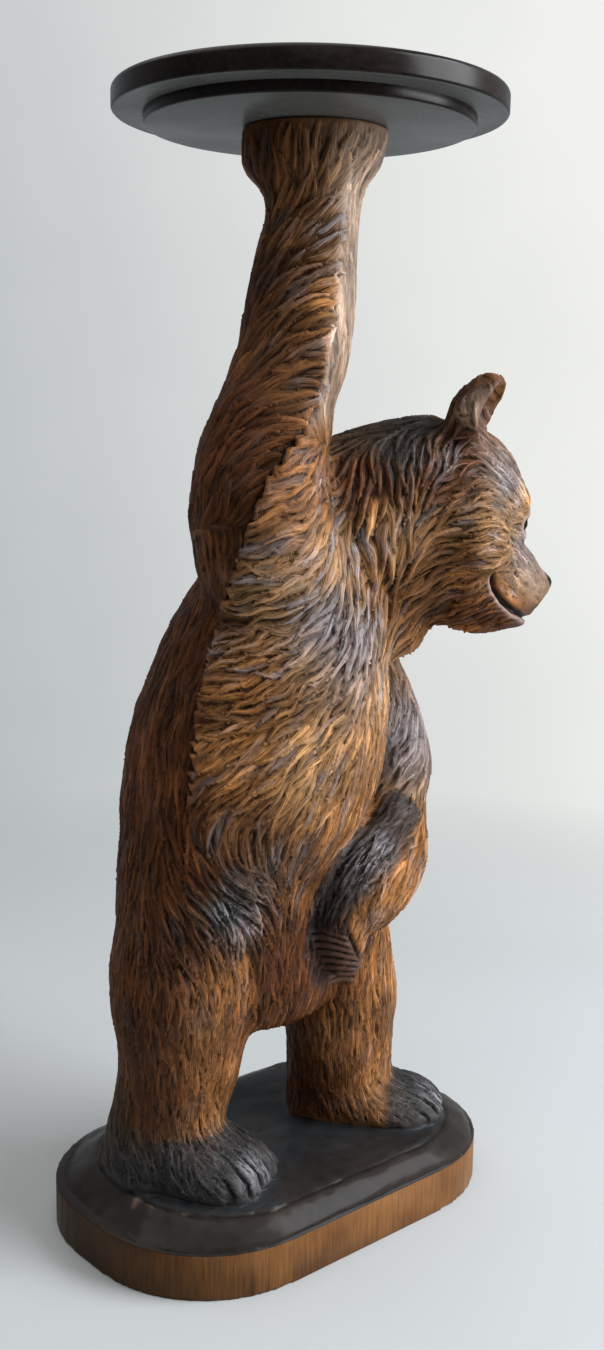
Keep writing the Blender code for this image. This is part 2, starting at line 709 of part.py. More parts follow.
def round_corner(centre_radius, centre_height, radius, start, steps=3):
    """Quarter-circle points of a turned profile, from the angle start anticlockwise."""
    points = []
    for step in range(steps + 1):
        angle = start + math.pi / 2 * step / steps
        along = centre_radius + radius * math.cos(angle)
        points.append((along, centre_height + radius * math.sin(angle)))
    return points


def plate_profile():
    """Radius and height above the step's underside, from the underside up to the top."""
    top = PLATE_STEP_THICKNESS + PLATE_THICKNESS
    step_radius = PLATE_RADIUS - PLATE_STEP_INSET
    low, high = PLATE_BOTTOM_ROUND, PLATE_TOP_ROUND
    profile = [(step_radius, 0.0), (step_radius, PLATE_STEP_THICKNESS)]
    profile += round_corner(PLATE_RADIUS - low, PLATE_STEP_THICKNESS + low, low, -math.pi / 2)
    profile += round_corner(PLATE_RADIUS - high, top - high, high, 0.0)
    return profile


def build_plate(finish):
    shape = bmesh.new()
    rings = []
    for radius, height in plate_profile():
        ring = []
        for i in range(PLATE_POINTS):
            angle = math.tau * i / PLATE_POINTS
            ring.append(Vector((radius * math.cos(angle), radius * math.sin(angle), height)))
        rings.append(ring)
    loft(shape, rings)
    plate = new_object("top_plate", finish_mesh(shape, "top_plate"))
    plate.data.materials.append(finish)
    turn = Matrix.Rotation(FIGURE_HEADING - math.pi / 2, 3, "Z")
    paw = turn @ Vector((PAW_CENTRE[0] * UNIT - PLATE_BEHIND_PAW, PAW_CENTRE[1] * UNIT, 0.0))
    plate.location = (paw.x, paw.y, PAW_TOP + FIT_GAP)
    plate.data.shade_smooth()
    plate.data.set_sharp_from_angle(angle=math.radians(35.0))
    return plate


def main():
    clear_scene()
    bear_wood = material("stained carved wood", (0.16, 0.068, 0.025), 0.45)
    plate_wood = material("dark turned wood", (0.018, 0.011, 0.008), 0.32)
    build_bear(bear_wood)
    build_plate(plate_wood)


main()
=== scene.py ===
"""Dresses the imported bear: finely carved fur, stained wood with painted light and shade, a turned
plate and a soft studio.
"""

import itertools
import math

import bmesh
import bpy
import numpy as np
from mathutils import Matrix, Vector


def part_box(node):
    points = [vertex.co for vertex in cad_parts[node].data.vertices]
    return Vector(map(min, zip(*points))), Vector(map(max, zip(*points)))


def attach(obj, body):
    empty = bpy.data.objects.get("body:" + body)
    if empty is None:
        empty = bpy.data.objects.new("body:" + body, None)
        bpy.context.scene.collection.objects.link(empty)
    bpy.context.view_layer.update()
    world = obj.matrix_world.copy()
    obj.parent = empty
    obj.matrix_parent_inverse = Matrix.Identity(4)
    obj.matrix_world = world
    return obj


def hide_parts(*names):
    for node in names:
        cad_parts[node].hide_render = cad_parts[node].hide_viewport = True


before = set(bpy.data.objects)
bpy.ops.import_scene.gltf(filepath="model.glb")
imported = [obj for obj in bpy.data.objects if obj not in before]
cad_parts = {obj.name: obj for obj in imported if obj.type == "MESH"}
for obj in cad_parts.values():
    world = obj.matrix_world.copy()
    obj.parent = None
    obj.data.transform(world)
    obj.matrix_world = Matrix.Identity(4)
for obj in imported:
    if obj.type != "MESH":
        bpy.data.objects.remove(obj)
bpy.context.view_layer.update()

# Everything on the figure is written in millimetres in its own directions:
# forward (where the chest faces), left, and up from the underside of the plinth.
HEADING = math.radians(45.0)
FIGURE_AXES = np.array((
    (math.sin(HEADING), -math.cos(HEADING), 0.0),
    (math.cos(HEADING), math.sin(HEADING), 0.0),
    (0.0, 0.0, 1.0),
))
GROUND = 38.0
BAND_TOP = 24.3
PAW_TOP = 581.7

VOXEL = 1.0
MOST_TRIANGLES = 197000
GOUGES = 420

# The head is turned, nods and tilts. Its own frame is forward along the muzzle, left, up.
HEAD_FRAME = (
    Matrix.Translation((98.0, 24.0, 388.0))
    @ (Matrix.Rotation(math.radians(26.0), 4, "Z") @ Matrix.Rotation(math.radians(18.0), 4, "Y"))
    @ Matrix.Rotation(math.radians(-18.0), 4, "X")
)
EYE = (24.5, 22.5, -4.5)
TEMPLE = (16.0, 34.0, -14.0)
BROW = (20.0, 29.0, 6.0)
FOREHEAD = (18.0, 0.0, 30.0)
NOSE = (60.5, 0.0, -21.5)
NOSE_REACH = (8.5, 11.0, 7.0)
EAR = (-24.0, 37.0, 45.0)
EAR_FUR = (-24.0, 37.0, 47.0)
EAR_LEAN = (3.6, 0.0, 0.6)
MUZZLE_CENTRE = (40.0, 0.0, -25.0)
MUZZLE_TAPER = 0.30
# What is pushed or pulled on the head: place, radius ahead, across and up, and the move
HEAD_MOVES = (
    ((40.0, -4.0, -54.0), (9.0, 9.0, 9.0), (3.0, -1.0, 1.5)),
    ((61.0, 0.0, -42.0), (9.0, 18.0, 9.0), (-2.6, -1.2, 0.6)),
    (NOSE, (6.0, 6.0, 6.0), (1.6, 0.7, 0.0)),
)
MOUTH = ((8.5, -41.0), (12.5, -45.2), (20.0, -48.8), (31.0, -50.4), (41.0, -50.0), (50.0, -48.3))

# The seam: forward, up
SEAM = (
    (-41, 198), (-39, 241), (-36, 294), (-29, 325), (-16, 366), (-2, 406),
    (19, 436), (24, 456), (28, 485), (30, 514), (32, 543), (35, 566),
)
SEAM_TURNS_AT = 436.0
TOOTH_PITCH = 9.0
TOOTH_REACH = 2.0
WAVE_LENGTH = 19.0

# Toes of each foot: where their cuts begin and end, forward and left
TOES = (((-24.0, -65.0), (4.0, -73.0)), ((66.0, 28.0), (98.0, 30.0)))
TOE_WIDTH = 9.5
TOES_ACROSS = 2.6

# The lowered arm: a line down its middle, from the elbow to the fingertips
FOREARM = ((78, 10, 222), (62, -8, 205), (44, -24, 178), (38, -26, 152), (46, -24, 138))
FINGER_WIDTH = 4.1
FINGERS = ((42, 134), (41, 141), (35, 155), (32, 162), (30, 170))
FOREARM_SLANT = 132.0

# Locks of fur: candidate places, look-ahead for their bend, and the width of one strand
MOST_TRIES = 150000
LOOK_AHEAD = 8.0
STRAND_WIDTH = 2.6
NEXT_CELLS = tuple(itertools.product((-1, 0, 1), repeat=3))

# The fold in front of the near thigh: forward, up
THIGH_FOLD = ((-9, 112), (-5, 128), (-2, 160), (-3, 186), (-6, 200))

# Fur: place, direction, half width, length, relief, waviness, side of the seam (0: both)
FLOW = (
    ((-85, -10, 250), (0.15, 0, -1), 2.6, 28, 0.9, 0.2, -1),
    ((-60, -20, 330), (-0.1, 0, -1), 2.6, 28, 0.9, 0.2, -1),
    ((-60, -60, 250), (0.15, 0, -1), 2.4, 28, 0.9, 0.2, -1),
    ((-35, -60, 330), (-0.2, 0, -1), 2.6, 28, 1.0, 0.3, -1),
    ((-45, -40, 420), (0.25, 0, 0.9), 2.8, 28, 1.0, 0.3, -1),
    ((-10, -45, 480), (0.55, 0, 0.83), 2.8, 32, 1.1, 0.4, -1),
    ((-12, -45, 520), (0.55, 0, 0.83), 2.8, 30, 1.0, 0.4, -1),
    ((12, -45, 450), (0.97, 0, 0.15), 4.6, 30, 2.0, 0.4, -1),
    ((14, -45, 500), (0.93, 0, 0.38), 4.4, 30, 1.8, 0.4, -1),
    ((22, -42, 540), (0.75, 0, 0.66), 3.4, 26, 1.3, 0.3, -1),
    ((38, -25, 500), (0.1, 0, 1), 2.4, 38, 0.25, 0.1, 1),
    ((36, -30, 450), (0.1, 0, 1), 2.4, 32, 0.5, 0.2, 1),
    ((10, -35, 565), (0.1, 0, 1), 3.4, 26, 1.3, 0.2, 0),
    ((20, -50, 390), (-0.85, 0, -0.4), 3.2, 30, 1.8, 0.9, 1),
    ((-10, -65, 345), (-0.95, 0, -0.25), 3.2, 32, 1.9, 1.0, 1),
    ((-25, -65, 300), (-0.97, 0, -0.2), 2.8, 30, 1.7, 0.7, 1),
    ((-15, -70, 260), (-0.8, 0, -0.55), 2.3, 26, 1.2, 0.5, 1),
    ((20, -60, 290), (-0.78, 0, -0.55), 2.6, 28, 1.5, 0.7, 1),
    ((20, -60, 240), (-0.55, 0, -0.8), 2.0, 24, 1.0, 0.4, 1),
    ((45, -35, 230), (-0.3, 0.1, -0.95), 2.0, 22, 0.9, 0.3, 1),
    ((60, 10, 300), (0, 0, -1), 2.8, 28, 1.4, 0.6, 1),
    ((-30, -78, 195), (0.6, 0, -0.8), 1.9, 32, 1.5, 0.2, 0),
    ((-12, -78, 192), (0.75, 0.2, -0.65), 2.1, 30, 1.9, 0.2, 0),
    ((-15, -80, 172), (0.3, 0, -0.95), 1.7, 30, 1.5, 0.2, 0),
    ((-70, -60, 190), (0.2, 0, -1), 1.7, 30, 0.7, 0.2, 0),
    ((-45, -85, 130), (0.05, 0, -1), 1.4, 24, 0.55, 0.3, 0),
    ((-15, -80, 130), (-0.1, 0, -1), 1.4, 24, 0.55, 0.3, 0),
    ((-45, -85, 85), (0.0, 0, -1), 1.4, 22, 0.55, 0.3, 0),
    ((-20, -85, 60), (0.85, -0.3, -0.5), 1.3, 22, 0.8, 0.1, 0),
    ((-45, -98, 52), (0.1, -0.8, -0.6), 1.3, 20, 0.8, 0.1, 0),
    ((60, 30, 110), (0, 0, -1), 1.5, 24, 0.55, 0.3, 0),
    ((50, 15, 80), (0.1, 0, -1), 1.5, 22, 0.55, 0.3, 0),
    ((80, 25, 55), (0.9, -0.2, -0.4), 1.3, 20, 0.8, 0.1, 0),
    ((50, 10, 440), (-0.85, 0, -0.5), 3.0, 32, 1.8, 0.3, 0),
    ((60, -20, 410), (0.12, -0.1, -1), 3.2, 38, 2.4, 0.25, 1),
    ((80, -15, 420), (-0.1, -0.1, -1), 3.0, 34, 2.2, 0.25, 1),
    ((50, -28, 372), (0.12, 0, -1), 4.4, 38, 2.6, 0.3, 1),
    ((50, -25, 345), (-0.2, 0, -0.95), 4.6, 36, 2.5, 0.4, 1),
    ((96, -18, 408), (-0.8, 0, -0.5), 2.6, 18, 1.7, 0.7, 0),
    ((108, -12, 378), (-1, 0, -0.1), 1.5, 20, 0.8, 0.6, 0),
    ((100, -14, 362), (-0.95, 0, -0.3), 1.5, 22, 0.9, 0.6, 0),
    ((85, -18, 345), (-0.75, 0, -0.65), 2.6, 26, 1.7, 0.6, 0),
    ((104, -8, 454), (0.35, 0, 0.95), 1.5, 13, 0.9, 0.1, 0),
    ((114, 0, 454), (-0.8, 0, 0.55), 1.4, 11, 1.0, 0.1, 0),
    ((118, -5, 418), (-0.8, 0, 0.5), 2.0, 14, 0.5, 0.3, 0),
    ((120, -5, 395), (-0.9, 0, 0.3), 1.5, 14, 0.6, 0.4, 0),
    ((135, 30, 350), (-0.9, -0.2, 0.3), 1.3, 9, 0.5, 0.0, 0),
    ((132, 8, 350), (-0.7, -0.2, 0.6), 1.3, 9, 0.55, 0.0, 0),
    ((104, 10, 328), (-0.6, 0, -0.75), 3.0, 17, 2.8, 0.4, 0),
    ((60, 75, 300), (0, 0, -1), 2.8, 28, 1.3, 0.4, 0),
    ((70, 20, 205), (-0.6, -0.6, -0.5), 2.2, 24, 1.2, 0.4, 0),
    ((48, -20, 200), (-0.5, -0.5, -0.7), 1.9, 24, 1.5, 0.4, 0),
    ((36, -30, 176), (-0.2, -0.2, -0.95), 1.7, 20, 1.2, 0.3, 0),
    ((-10, 55, 270), (-0.3, 0, -0.95), 3.0, 28, 1.3, 0.5, 0),
    ((10, 60, 170), (0, 0, -1), 2.6, 28, 1.0, 0.4, 0),
    ((110, 62, 375), (-0.95, 0.2, -0.15), 2.2, 22, 1.3, 0.6, 0),
    ((60, 55, 400), (-0.2, 0.1, -0.95), 3.2, 36, 2.2, 0.3, 0),
)


def linked(name, mesh):
    obj = bpy.data.objects.new(name, mesh)
    bpy.context.scene.collection.objects.link(obj)
    return obj


def applied(obj):
    """The mesh that an object's modifier makes; the object itself goes."""
    bpy.context.view_layer.update()
    graph = bpy.context.evaluated_depsgraph_get()
    made, old = bpy.data.meshes.new_from_object(obj.evaluated_get(graph)), obj.data
    bpy.data.objects.remove(obj, do_unlink=True)
    bpy.data.meshes.remove(old)
    return made


def read(collection, name, width, kind=float):
    values = np.empty(len(collection) * width, kind)
    collection.foreach_get(name, values)
    return values.reshape(-1, width) if width > 1 else values


def unit(rows):
    return rows / np.maximum(np.linalg.norm(rows, axis=1, keepdims=True), 1e-9)


def figure_points(mesh):
    """Points and normals in the figure's millimetres and directions."""
    points = read(mesh.vertices, "co", 3) * 1000.0 @ FIGURE_AXES.T
    normals = read(mesh.vertices, "normal", 3) @ FIGURE_AXES.T
    return points, normals


def write_points(mesh, points):
    mesh.vertices.foreach_set("co", (points @ FIGURE_AXES / 1000.0).ravel())
    mesh.update()


def fade(values, start, end):
    """0 at start and 1 at end, smooth between them."""
    share = np.clip((values - start) / (end - start), 0.0, 1.0)
    return share * share * (3.0 - 2.0 * share)


def ripple(points, pitch, seed):
    """Smooth noise from -1 to 1."""
    random = np.random.default_rng(seed)
    total = np.zeros(len(points))
    for _ in range(5):
        wave = random.normal(0.0, 1.0, 3) * math.tau / pitch / 1.6
        total += np.sin(points @ wave + random.uniform(0.0, math.tau))
    return total / 3.0


def away_from(points, place, reach=1.0):
    """Each point's distance from a place, in units of a reach."""
    return np.linalg.norm((points - np.array(place, float)) / reach, axis=1)


def moved_by(matrix, points):
    rows = np.array(matrix)
    return points @ rows[:3, :3].T + rows[:3, 3]


def head_points(points):
    """Points of the figure, in the head's frame."""
    return moved_by(HEAD_FRAME.inverted(), points)


def left_half(head):
    """Points of the head, with its right half mirrored onto the left."""
    return np.column_stack((head[:, 0], np.abs(head[:, 1]), head[:, 2]))


def ahead_at(up, line):
    """How far forward a line lies at each height."""
    aheads, ups = zip(*line)
    return np.interp(up, ups, aheads)


def distance_to_line(points, line):
    nearest = np.full(len(points), np.inf)
    line = np.array(line, float)
    for start, end in zip(line[:-1], line[1:]):
        run = end - start
        share = np.clip((points - start) @ run / (run @ run), 0.0, 1.0)
        nearest = np.minimum(nearest, np.linalg.norm(points - start - share[:, None] * run, axis=1))
    return nearest


def seam_side(points):
    """How far ahead of the seam each point is, its side of the teeth, and how much it counts."""
    ahead, left, up = points.T
    beyond = ahead - ahead_at(up, SEAM)
    turn = up + 3.5 * np.sin(up / 8.3) + 1.6 * np.sin(up / 3.1)
    tooth = 2.0 * ((turn / TOOTH_PITCH) % 1.0) - 1.0
    reach = TOOTH_REACH - 0.6 * fade(up, SEAM_TURNS_AT - 30.0, SEAM_TURNS_AT + 20.0)
    reach *= 0.75 + 0.5 * np.sin(up / 13.0)
    side = np.where(beyond + reach * tooth > 0.0, 1, -1)
    low, high = SEAM[0][1], SEAM[-1][1]
    counts = fade(-left, 4.0, 16.0) * fade(up, low - 8.0, low + 25.0)
    counts *= fade(up, high + 6.0, high - 10.0)
    return beyond, side, counts


def style_at(points, normals):
    """Direction, half width, length, relief and waviness of the fur at each point."""
    _, seam, counts = seam_side(points)
    direction, sizes = np.zeros_like(points), np.zeros((len(points), 4))
    most, total = np.zeros((2, len(points)))
    guide = np.zeros(len(points), int)
    for row, (place, heading, *size, side) in enumerate(FLOW):
        weight = 1.0 / (away_from(points, place) + 8.0) ** 4
        if side:
            weight *= 1.0 - 0.98 * (seam != side) * counts
        direction += weight[:, None] * unit(np.array([heading], float))
        sizes += weight[:, None] * np.array(size)
        total += weight
        guide[weight > most] = row
        most = np.maximum(most, weight)
    direction -= normals * np.sum(direction * normals, axis=1, keepdims=True)
    return unit(direction), sizes / total[:, None], guide


def mouth_place(head):
    """Distance from the mouth's line, and whether it counts, for points of the head."""
    ahead = (head[:, 0] > 4.0) & (np.abs(head[:, 1]) < 32.0) & (head[:, 2] < 0.0)
    return distance_to_line(head[:, [0, 2]], MOUTH), ahead


def below_mouth(head):
    """Whether each point of the head lies below the mouth's line."""
    return head[:, 2] < np.interp(head[:, 0], *zip(*MOUTH))


def fur_amount(points):
    """How deep the fur is carved: less on the face and toes, none on the plinth, eyes and lips."""
    up = points[:, 2]
    amount = fade(up, GROUND + 1.0, GROUND + 7.0) * fade(up, PAW_TOP - 0.5, PAW_TOP - 4.0)
    head = head_points(points)
    amount *= 1.0 - 0.5 * fade(head[:, 0], 26.0, 36.0) * (np.linalg.norm(head, axis=1) < 90.0)
    amount *= 0.35 + 0.65 * fade(away_from(head, FOREHEAD), 14.0, 30.0)
    half = left_half(head)
    amount *= fade(away_from(half, EYE), 5.5, 8.5)
    amount *= 0.75 + 0.25 * fade(away_from(half, EAR_FUR), 14.0, 22.0)
    lips, ahead = mouth_place(head)
    amount *= np.where(ahead, fade(lips, 2.5, 5.0), 1.0)
    return amount * (1.0 - 0.4 * toe_share(points) - 0.8 * finger_share(points))


def toe_frame(points, toes):
    """Along a foot's toes from 0 to 1, across them in widths, and whether it is on them."""
    start, end = (np.array(place) for place in toes)
    ahead = (end - start) / np.linalg.norm(end - start)
    offset = points[:, :2] - start
    along = offset @ ahead / np.linalg.norm(end - start)
    across = offset @ np.array((-ahead[1], ahead[0]))
    across = across / (0.8 + 0.35 * np.clip(along, 0.0, 1.0)) / TOE_WIDTH
    return along, across, (np.abs(across) < TOES_ACROSS) * (along < 1.8)


def toe_share(points):
    """1 on the front of the feet, where the toes are."""
    up = points[:, 2]
    share = np.zeros(len(points))
    for toes in TOES:
        along, _, here = toe_frame(points, toes)
        one = fade(along, 0.35, 0.75) * here * fade(up, GROUND + 24.0, GROUND + 18.0)
        share = np.maximum(share, one)
    return share * (up > GROUND + 0.5)


def bands(place, crown, sharpness, cut, cut_share):
    """Rounded ridges with a sharp cut between them; place runs from -0.5 to 0.5 across each."""
    edge = (0.5 - np.abs(place)) / cut_share
    return crown * np.cos(place * math.pi) ** sharpness - cut * np.clip(1.0 - edge, 0.0, 1.0)


def toe_relief(points):
    """Rounded toes with sharp cuts between them, and a claw's groove down each."""
    up = points[:, 2]
    height = np.zeros(len(points))
    for toes in TOES:
        along, across, here = toe_frame(points, toes)
        share = fade(along, 0.15, 0.6) * here
        place = (across + 0.5) % 1.0 - 0.5
        claw = np.clip(1.0 - np.abs(np.abs(place) - 0.17) / 0.09, 0.0, 1.0)
        claw *= 0.7 * fade(along, 0.75, 0.95)
        height += share * (bands(place, 1.0, 0.8, 1.5, 0.16) - claw)
    return height * fade(up, GROUND + 24.0, GROUND + 16.0) * fade(up, GROUND + 1.0, GROUND + 4.0)


def finger_share(points):
    """1 on the fingers of the lowered paw."""
    ahead, left, up = points.T
    share = fade(np.abs(ahead - ahead_at(up, FINGERS)), 11.0, 9.0) * fade(up, 168.0, 164.0)
    return share * (left < -6.0) * (up > 128.0)


def finger_relief(points):
    """The fingers as bands across the paw, with sharp cuts between them and one beside them."""
    ahead, left, up = points.T
    away = ahead - ahead_at(up, FINGERS)
    place = ((up + 0.15 * away + 0.025 * away**2) / FINGER_WIDTH) % 1.0 - 0.5
    beside = 1.8 * bump_at(away, 11.5, 1.3) * fade(up, 170.0, 162.0)
    beside *= (left < -6.0) * (up > 132.0)
    return finger_share(points) * bands(place, 0.6, 0.7, 1.2, 0.2) - beside


def is_free(grid, place, along, across, reach):
    """Whether no chosen lock lies within this one's reach along and across."""
    x, y, z = place
    key = tuple(int(value // 10.0) for value in place)
    for i, j, k in NEXT_CELLS:
        for other in grid.get((key[0] + i, key[1] + j, key[2] + k), ()):
            dx, dy, dz = other[0] - x, other[1] - y, other[2] - z
            a = (dx * along[0] + dy * along[1] + dz * along[2]) / reach[0]
            c = (dx * across[0] + dy * across[1] + dz * across[2]) / reach[1]
            if a * a + c * c < 1.0 and dx * dx + dy * dy + dz * dz < 140.0:
                return False
    grid.setdefault(key, []).append((x, y, z))
    return True


def place_locks(points, normals):
    """Locks spread over the skin, none nearer to another than their size allows."""
    random = np.random.default_rng(7)
    some = random.permutation(len(points))[:MOST_TRIES]
    some = some[fur_amount(points[some]) > 0.05]
    points, normals = points[some], normals[some]
    direction, sizes, guide = style_at(points, normals)
    across = unit(np.cross(normals, direction))
    grid = {}
    lists = (rows.tolist() for rows in (points, direction, across, sizes))
    chosen = [
        row
        for row, (place, ahead, aside, size) in enumerate(zip(*lists))
        if is_free(grid, place, ahead, aside, (0.34 * size[1], 1.15 * size[0]))
    ]
    points, normals, direction, across, sizes, guide = (
        rows[chosen] for rows in (points, normals, direction, across, sizes, guide)
    )
    count = len(chosen)
    swing = random.normal(0.0, 0.16, count)
    direction = direction * np.cos(swing)[:, None] + across * np.sin(swing)[:, None]
    locks = {
        "centre": points,
        "normal": normals,
        "along": direction,
        "across": unit(np.cross(normals, direction)),
        "half_width": sizes[:, 0] * random.uniform(0.8, 1.4, count),
        "length": sizes[:, 1] * random.uniform(0.75, 1.15, count),
        "relief": sizes[:, 2] * random.uniform(0.75, 1.25, count),
        "wave": sizes[:, 3] * random.uniform(0.4, 1.3, count),
        "phase": random.normal(0.0, 0.5, count),
        "bend": random.normal(0.0, 0.006, count),
        "sway": random.normal(0.0, 0.0003, count),
        "lift": random.uniform(0.0, 0.28, count),
        "lean": np.clip(random.normal(0.15, 0.3, count), -0.6, 0.6),
        "tone": random.normal(0.0, 1.0, count),
        "hue": random.normal(0.0, 1.0, count),
        "side": seam_side(points)[1],
    }
    # Neighbours wave together, and each lock bends the way the fur turns round it
    starts = np.array([row[0] for row in FLOW], float)[guide]
    headings = unit(np.array([row[1] for row in FLOW], float))[guide]
    travelled = np.sum((points - starts) * headings, axis=1)
    locks["phase"] += travelled * math.tau / WAVE_LENGTH
    later = style_at(points + direction * LOOK_AHEAD, normals)[0]
    before = style_at(points - direction * LOOK_AHEAD, normals)[0]
    turning = np.sum((later - before) * locks["across"], axis=1) / (4.0 * LOOK_AHEAD)
    locks["bend"] += np.clip(turning, -0.02, 0.02)
    locks["strands"] = np.maximum(2.0, np.round(locks["half_width"] * 2.0 / STRAND_WIDTH))
    return locks


def in_lock(locks, i, offset):
    """Place along a lock from 0 to 1, across it from -1 to 1 at its edges, and in millimetres."""
    along = np.sum(offset * locks["along"][i], axis=1)
    across = np.sum(offset * locks["across"][i], axis=1)
    across = across - locks["bend"][i] * along**2 - locks["sway"][i] * along**3
    across -= locks["wave"][i] * np.sin(along * math.tau / WAVE_LENGTH + locks["phase"][i])
    share = along / locks["length"][i] + 0.5
    held = np.clip(share, 0.001, 0.999)
    width = locks["half_width"][i] * np.minimum(1.0, 3.2 * held) ** 0.5 * (1.0 - held**2.6)
    return share, across / np.maximum(width, 0.25), along


def comb(points, normals, locks):
    """The lock that lies on top at each point, its height there and the strand's."""
    cell = 22.0  # Points are sorted into cells, and a lock only meets those near it
    keys = np.floor(points / cell).astype(int)
    lowest = keys.min(axis=0) - 2
    keys -= lowest
    spans = keys.max(axis=0) + 3
    flat = (keys[:, 0] * spans[1] + keys[:, 1]) * spans[2] + keys[:, 2]
    order = np.argsort(flat, kind="stable")
    starts = np.searchsorted(flat[order], np.arange(np.prod(spans) + 1))
    _, side, counts = seam_side(points)
    strict = counts > 0.5
    height, strand = np.zeros((2, len(points)))
    owner = np.full(len(points), -1)
    for i, centre in enumerate(locks["centre"]):
        x, y, z = np.floor(centre / cell).astype(int) - lowest
        columns = ((x + j) * spans[1] + y + k for j in (-1, 0, 1) for k in (-1, 0, 1))
        firsts = [column * spans[2] + z - 1 for column in columns]
        near = np.concatenate([order[starts[first]:starts[first + 3]] for first in firsts])
        offset = points[near] - centre
        reach = 0.55 * locks["length"][i]
        inside = np.sum(offset * offset, axis=1) < reach * reach
        inside &= normals[near] @ locks["normal"][i] > 0.15
        inside &= ~strict[near] | (side[near] == locks["side"][i])
        near, offset = near[inside], offset[inside]
        share, across, _ = in_lock(locks, i, offset)
        inside = (share > 0.0) & (share < 1.0) & (np.abs(across) < 1.0)
        near, share, across = near[inside], share[inside], across[inside]
        lean = locks["lean"][i]
        slope = np.where(across < lean, 1.0 + lean, 1.0 - lean)
        crown = (1.0 - np.abs(across - lean) / slope) ** 0.85
        body = (0.12 + locks["lift"][i] + 0.6 * share) * (0.15 + 0.85 * crown)
        body *= np.minimum(1.0, 5.0 * share)
        wave = (across + 1.0) * locks["strands"][i] / 2.0
        groove = np.abs(wave % 1.0 - 0.5) * 2.0
        fine = (1.0 - groove**1.4) * np.minimum(1.0, 4.0 * share)
        higher = body > height[near]
        near = near[higher]
        height[near], strand[near], owner[near] = body[higher], fine[higher], i
    return owner, height, strand


def smooth(points, edges, weights, rounds):
    a, b = edges[:, 0], edges[:, 1]
    count = len(points)
    degree = np.bincount(a, minlength=count) + np.bincount(b, minlength=count)
    pull = (0.5 * weights)[:, None]
    for _ in range(rounds):
        total = [np.bincount(a, v[b], count) + np.bincount(b, v[a], count) for v in points.T]
        points = points + pull * (np.stack(total, axis=1) / degree[:, None] - points)
    return points


def softness(points):
    """How freely the coarse carving may be smoothed before the fine carving."""
    up = points[:, 2]
    amount = fade(up, GROUND + 2.0, GROUND + 30.0) * fade(up, PAW_TOP - 1.0, PAW_TOP - 9.0)
    amount *= 1.0 - 0.9 * toe_share(points)
    half = left_half(head_points(points))
    amount *= 0.12 + 0.88 * fade(away_from(half, (40.0, 0.0, -28.0)), 24.0, 42.0)
    amount *= 0.06 + 0.94 * fade(away_from(half, EAR), 18.0, 30.0)
    amount *= 0.1 + 0.9 * fade(away_from(half, EYE), 7.0, 14.0)
    return amount * (0.2 + 0.8 * fade(distance_to_line(points, FOREARM), 20.0, 36.0))


def plinth_softness(points):
    """1 on the plinth's top and edge, 0 on its band and on the figure."""
    return fade(points[:, 2], BAND_TOP + 0.2, BAND_TOP + 1.5) * (points[:, 2] < GROUND + 1.2)


def bump_at(distance, middle, width):
    """1 at a distance and fading to 0 to either side of it."""
    return np.exp(-(((distance - middle) / width) ** 2))


def seam_relief(points):
    """The skin steps up in front of the seam on the flank, and behind it on the raised arm."""
    beyond, side, counts = seam_side(points)
    up = fade(points[:, 2], SEAM_TURNS_AT - 14.0, SEAM_TURNS_AT + 10.0)
    away = np.abs(beyond)
    low = np.where(side > 0, 1.9 * np.exp(-away / 14.0), -1.7 * np.exp(-away / 10.0))
    high = np.where(side > 0, -2.4 * np.exp(-away / 10.0), 2.9 * np.exp(-away / 13.0))
    return counts * (low * (1.0 - up) + high * up)


def face_relief(points):
    """The mouth's cut between its lips, and the eyes in their rims."""
    head = head_points(points)
    lips, front = mouth_place(head)
    corner = np.clip(1.25 - (head[:, 0] - 8.0) / 60.0, 0.6, 1.3)
    mouth = -3.0 * corner * np.clip(1.0 - lips / (2.3 * corner), 0.0, 1.0) ** 0.6
    mouth += np.where(below_mouth(head), 0.7, 0.1) * bump_at(lips, 3.2, 1.1)
    eye = away_from(left_half(head), EYE)
    height = bump_at(eye, 7.0, 1.3) - 1.3 * bump_at(eye, 4.6, 1.0) + 1.1 * fade(eye, 3.6, 0.8)
    return height + np.where(front, mouth, 0.0)


def edge_relief(points):
    """The plinth's rounded shoulder, with a groove below it and one above."""
    rise = (points[:, 2] - BAND_TOP) / (GROUND - BAND_TOP)
    rim = plinth_softness(points) * (points[:, 2] < GROUND - 0.2)
    bead = 1.3 * np.sin(np.clip(rise * 1.1, 0.0, 1.0) * math.pi) ** 0.6
    return rim * (bead - 1.2 * bump_at(rise, 0.0, 0.09) - 0.9 * bump_at(rise, 0.9, 0.06))


def features(points, normals):
    """What everything but the fur adds to the skin's height."""
    height = seam_relief(points) + face_relief(points) + toe_relief(points)
    return height + finger_relief(points) + edge_relief(points) - ground_cuts(points, normals)


def black_parts(points):
    """1 where the stain is black: the mouth's cut, the eyes and the nose."""
    head = head_points(points)
    lips, front = mouth_place(head)
    black = np.where(front, 1.0 - fade(lips, 1.0, 2.2), 0.0)
    black = np.maximum(black, 1.0 - fade(away_from(head, NOSE, NOSE_REACH), 0.85, 1.1))
    return np.maximum(black, 1.0 - fade(away_from(left_half(head), EYE), 4.4, 5.4))


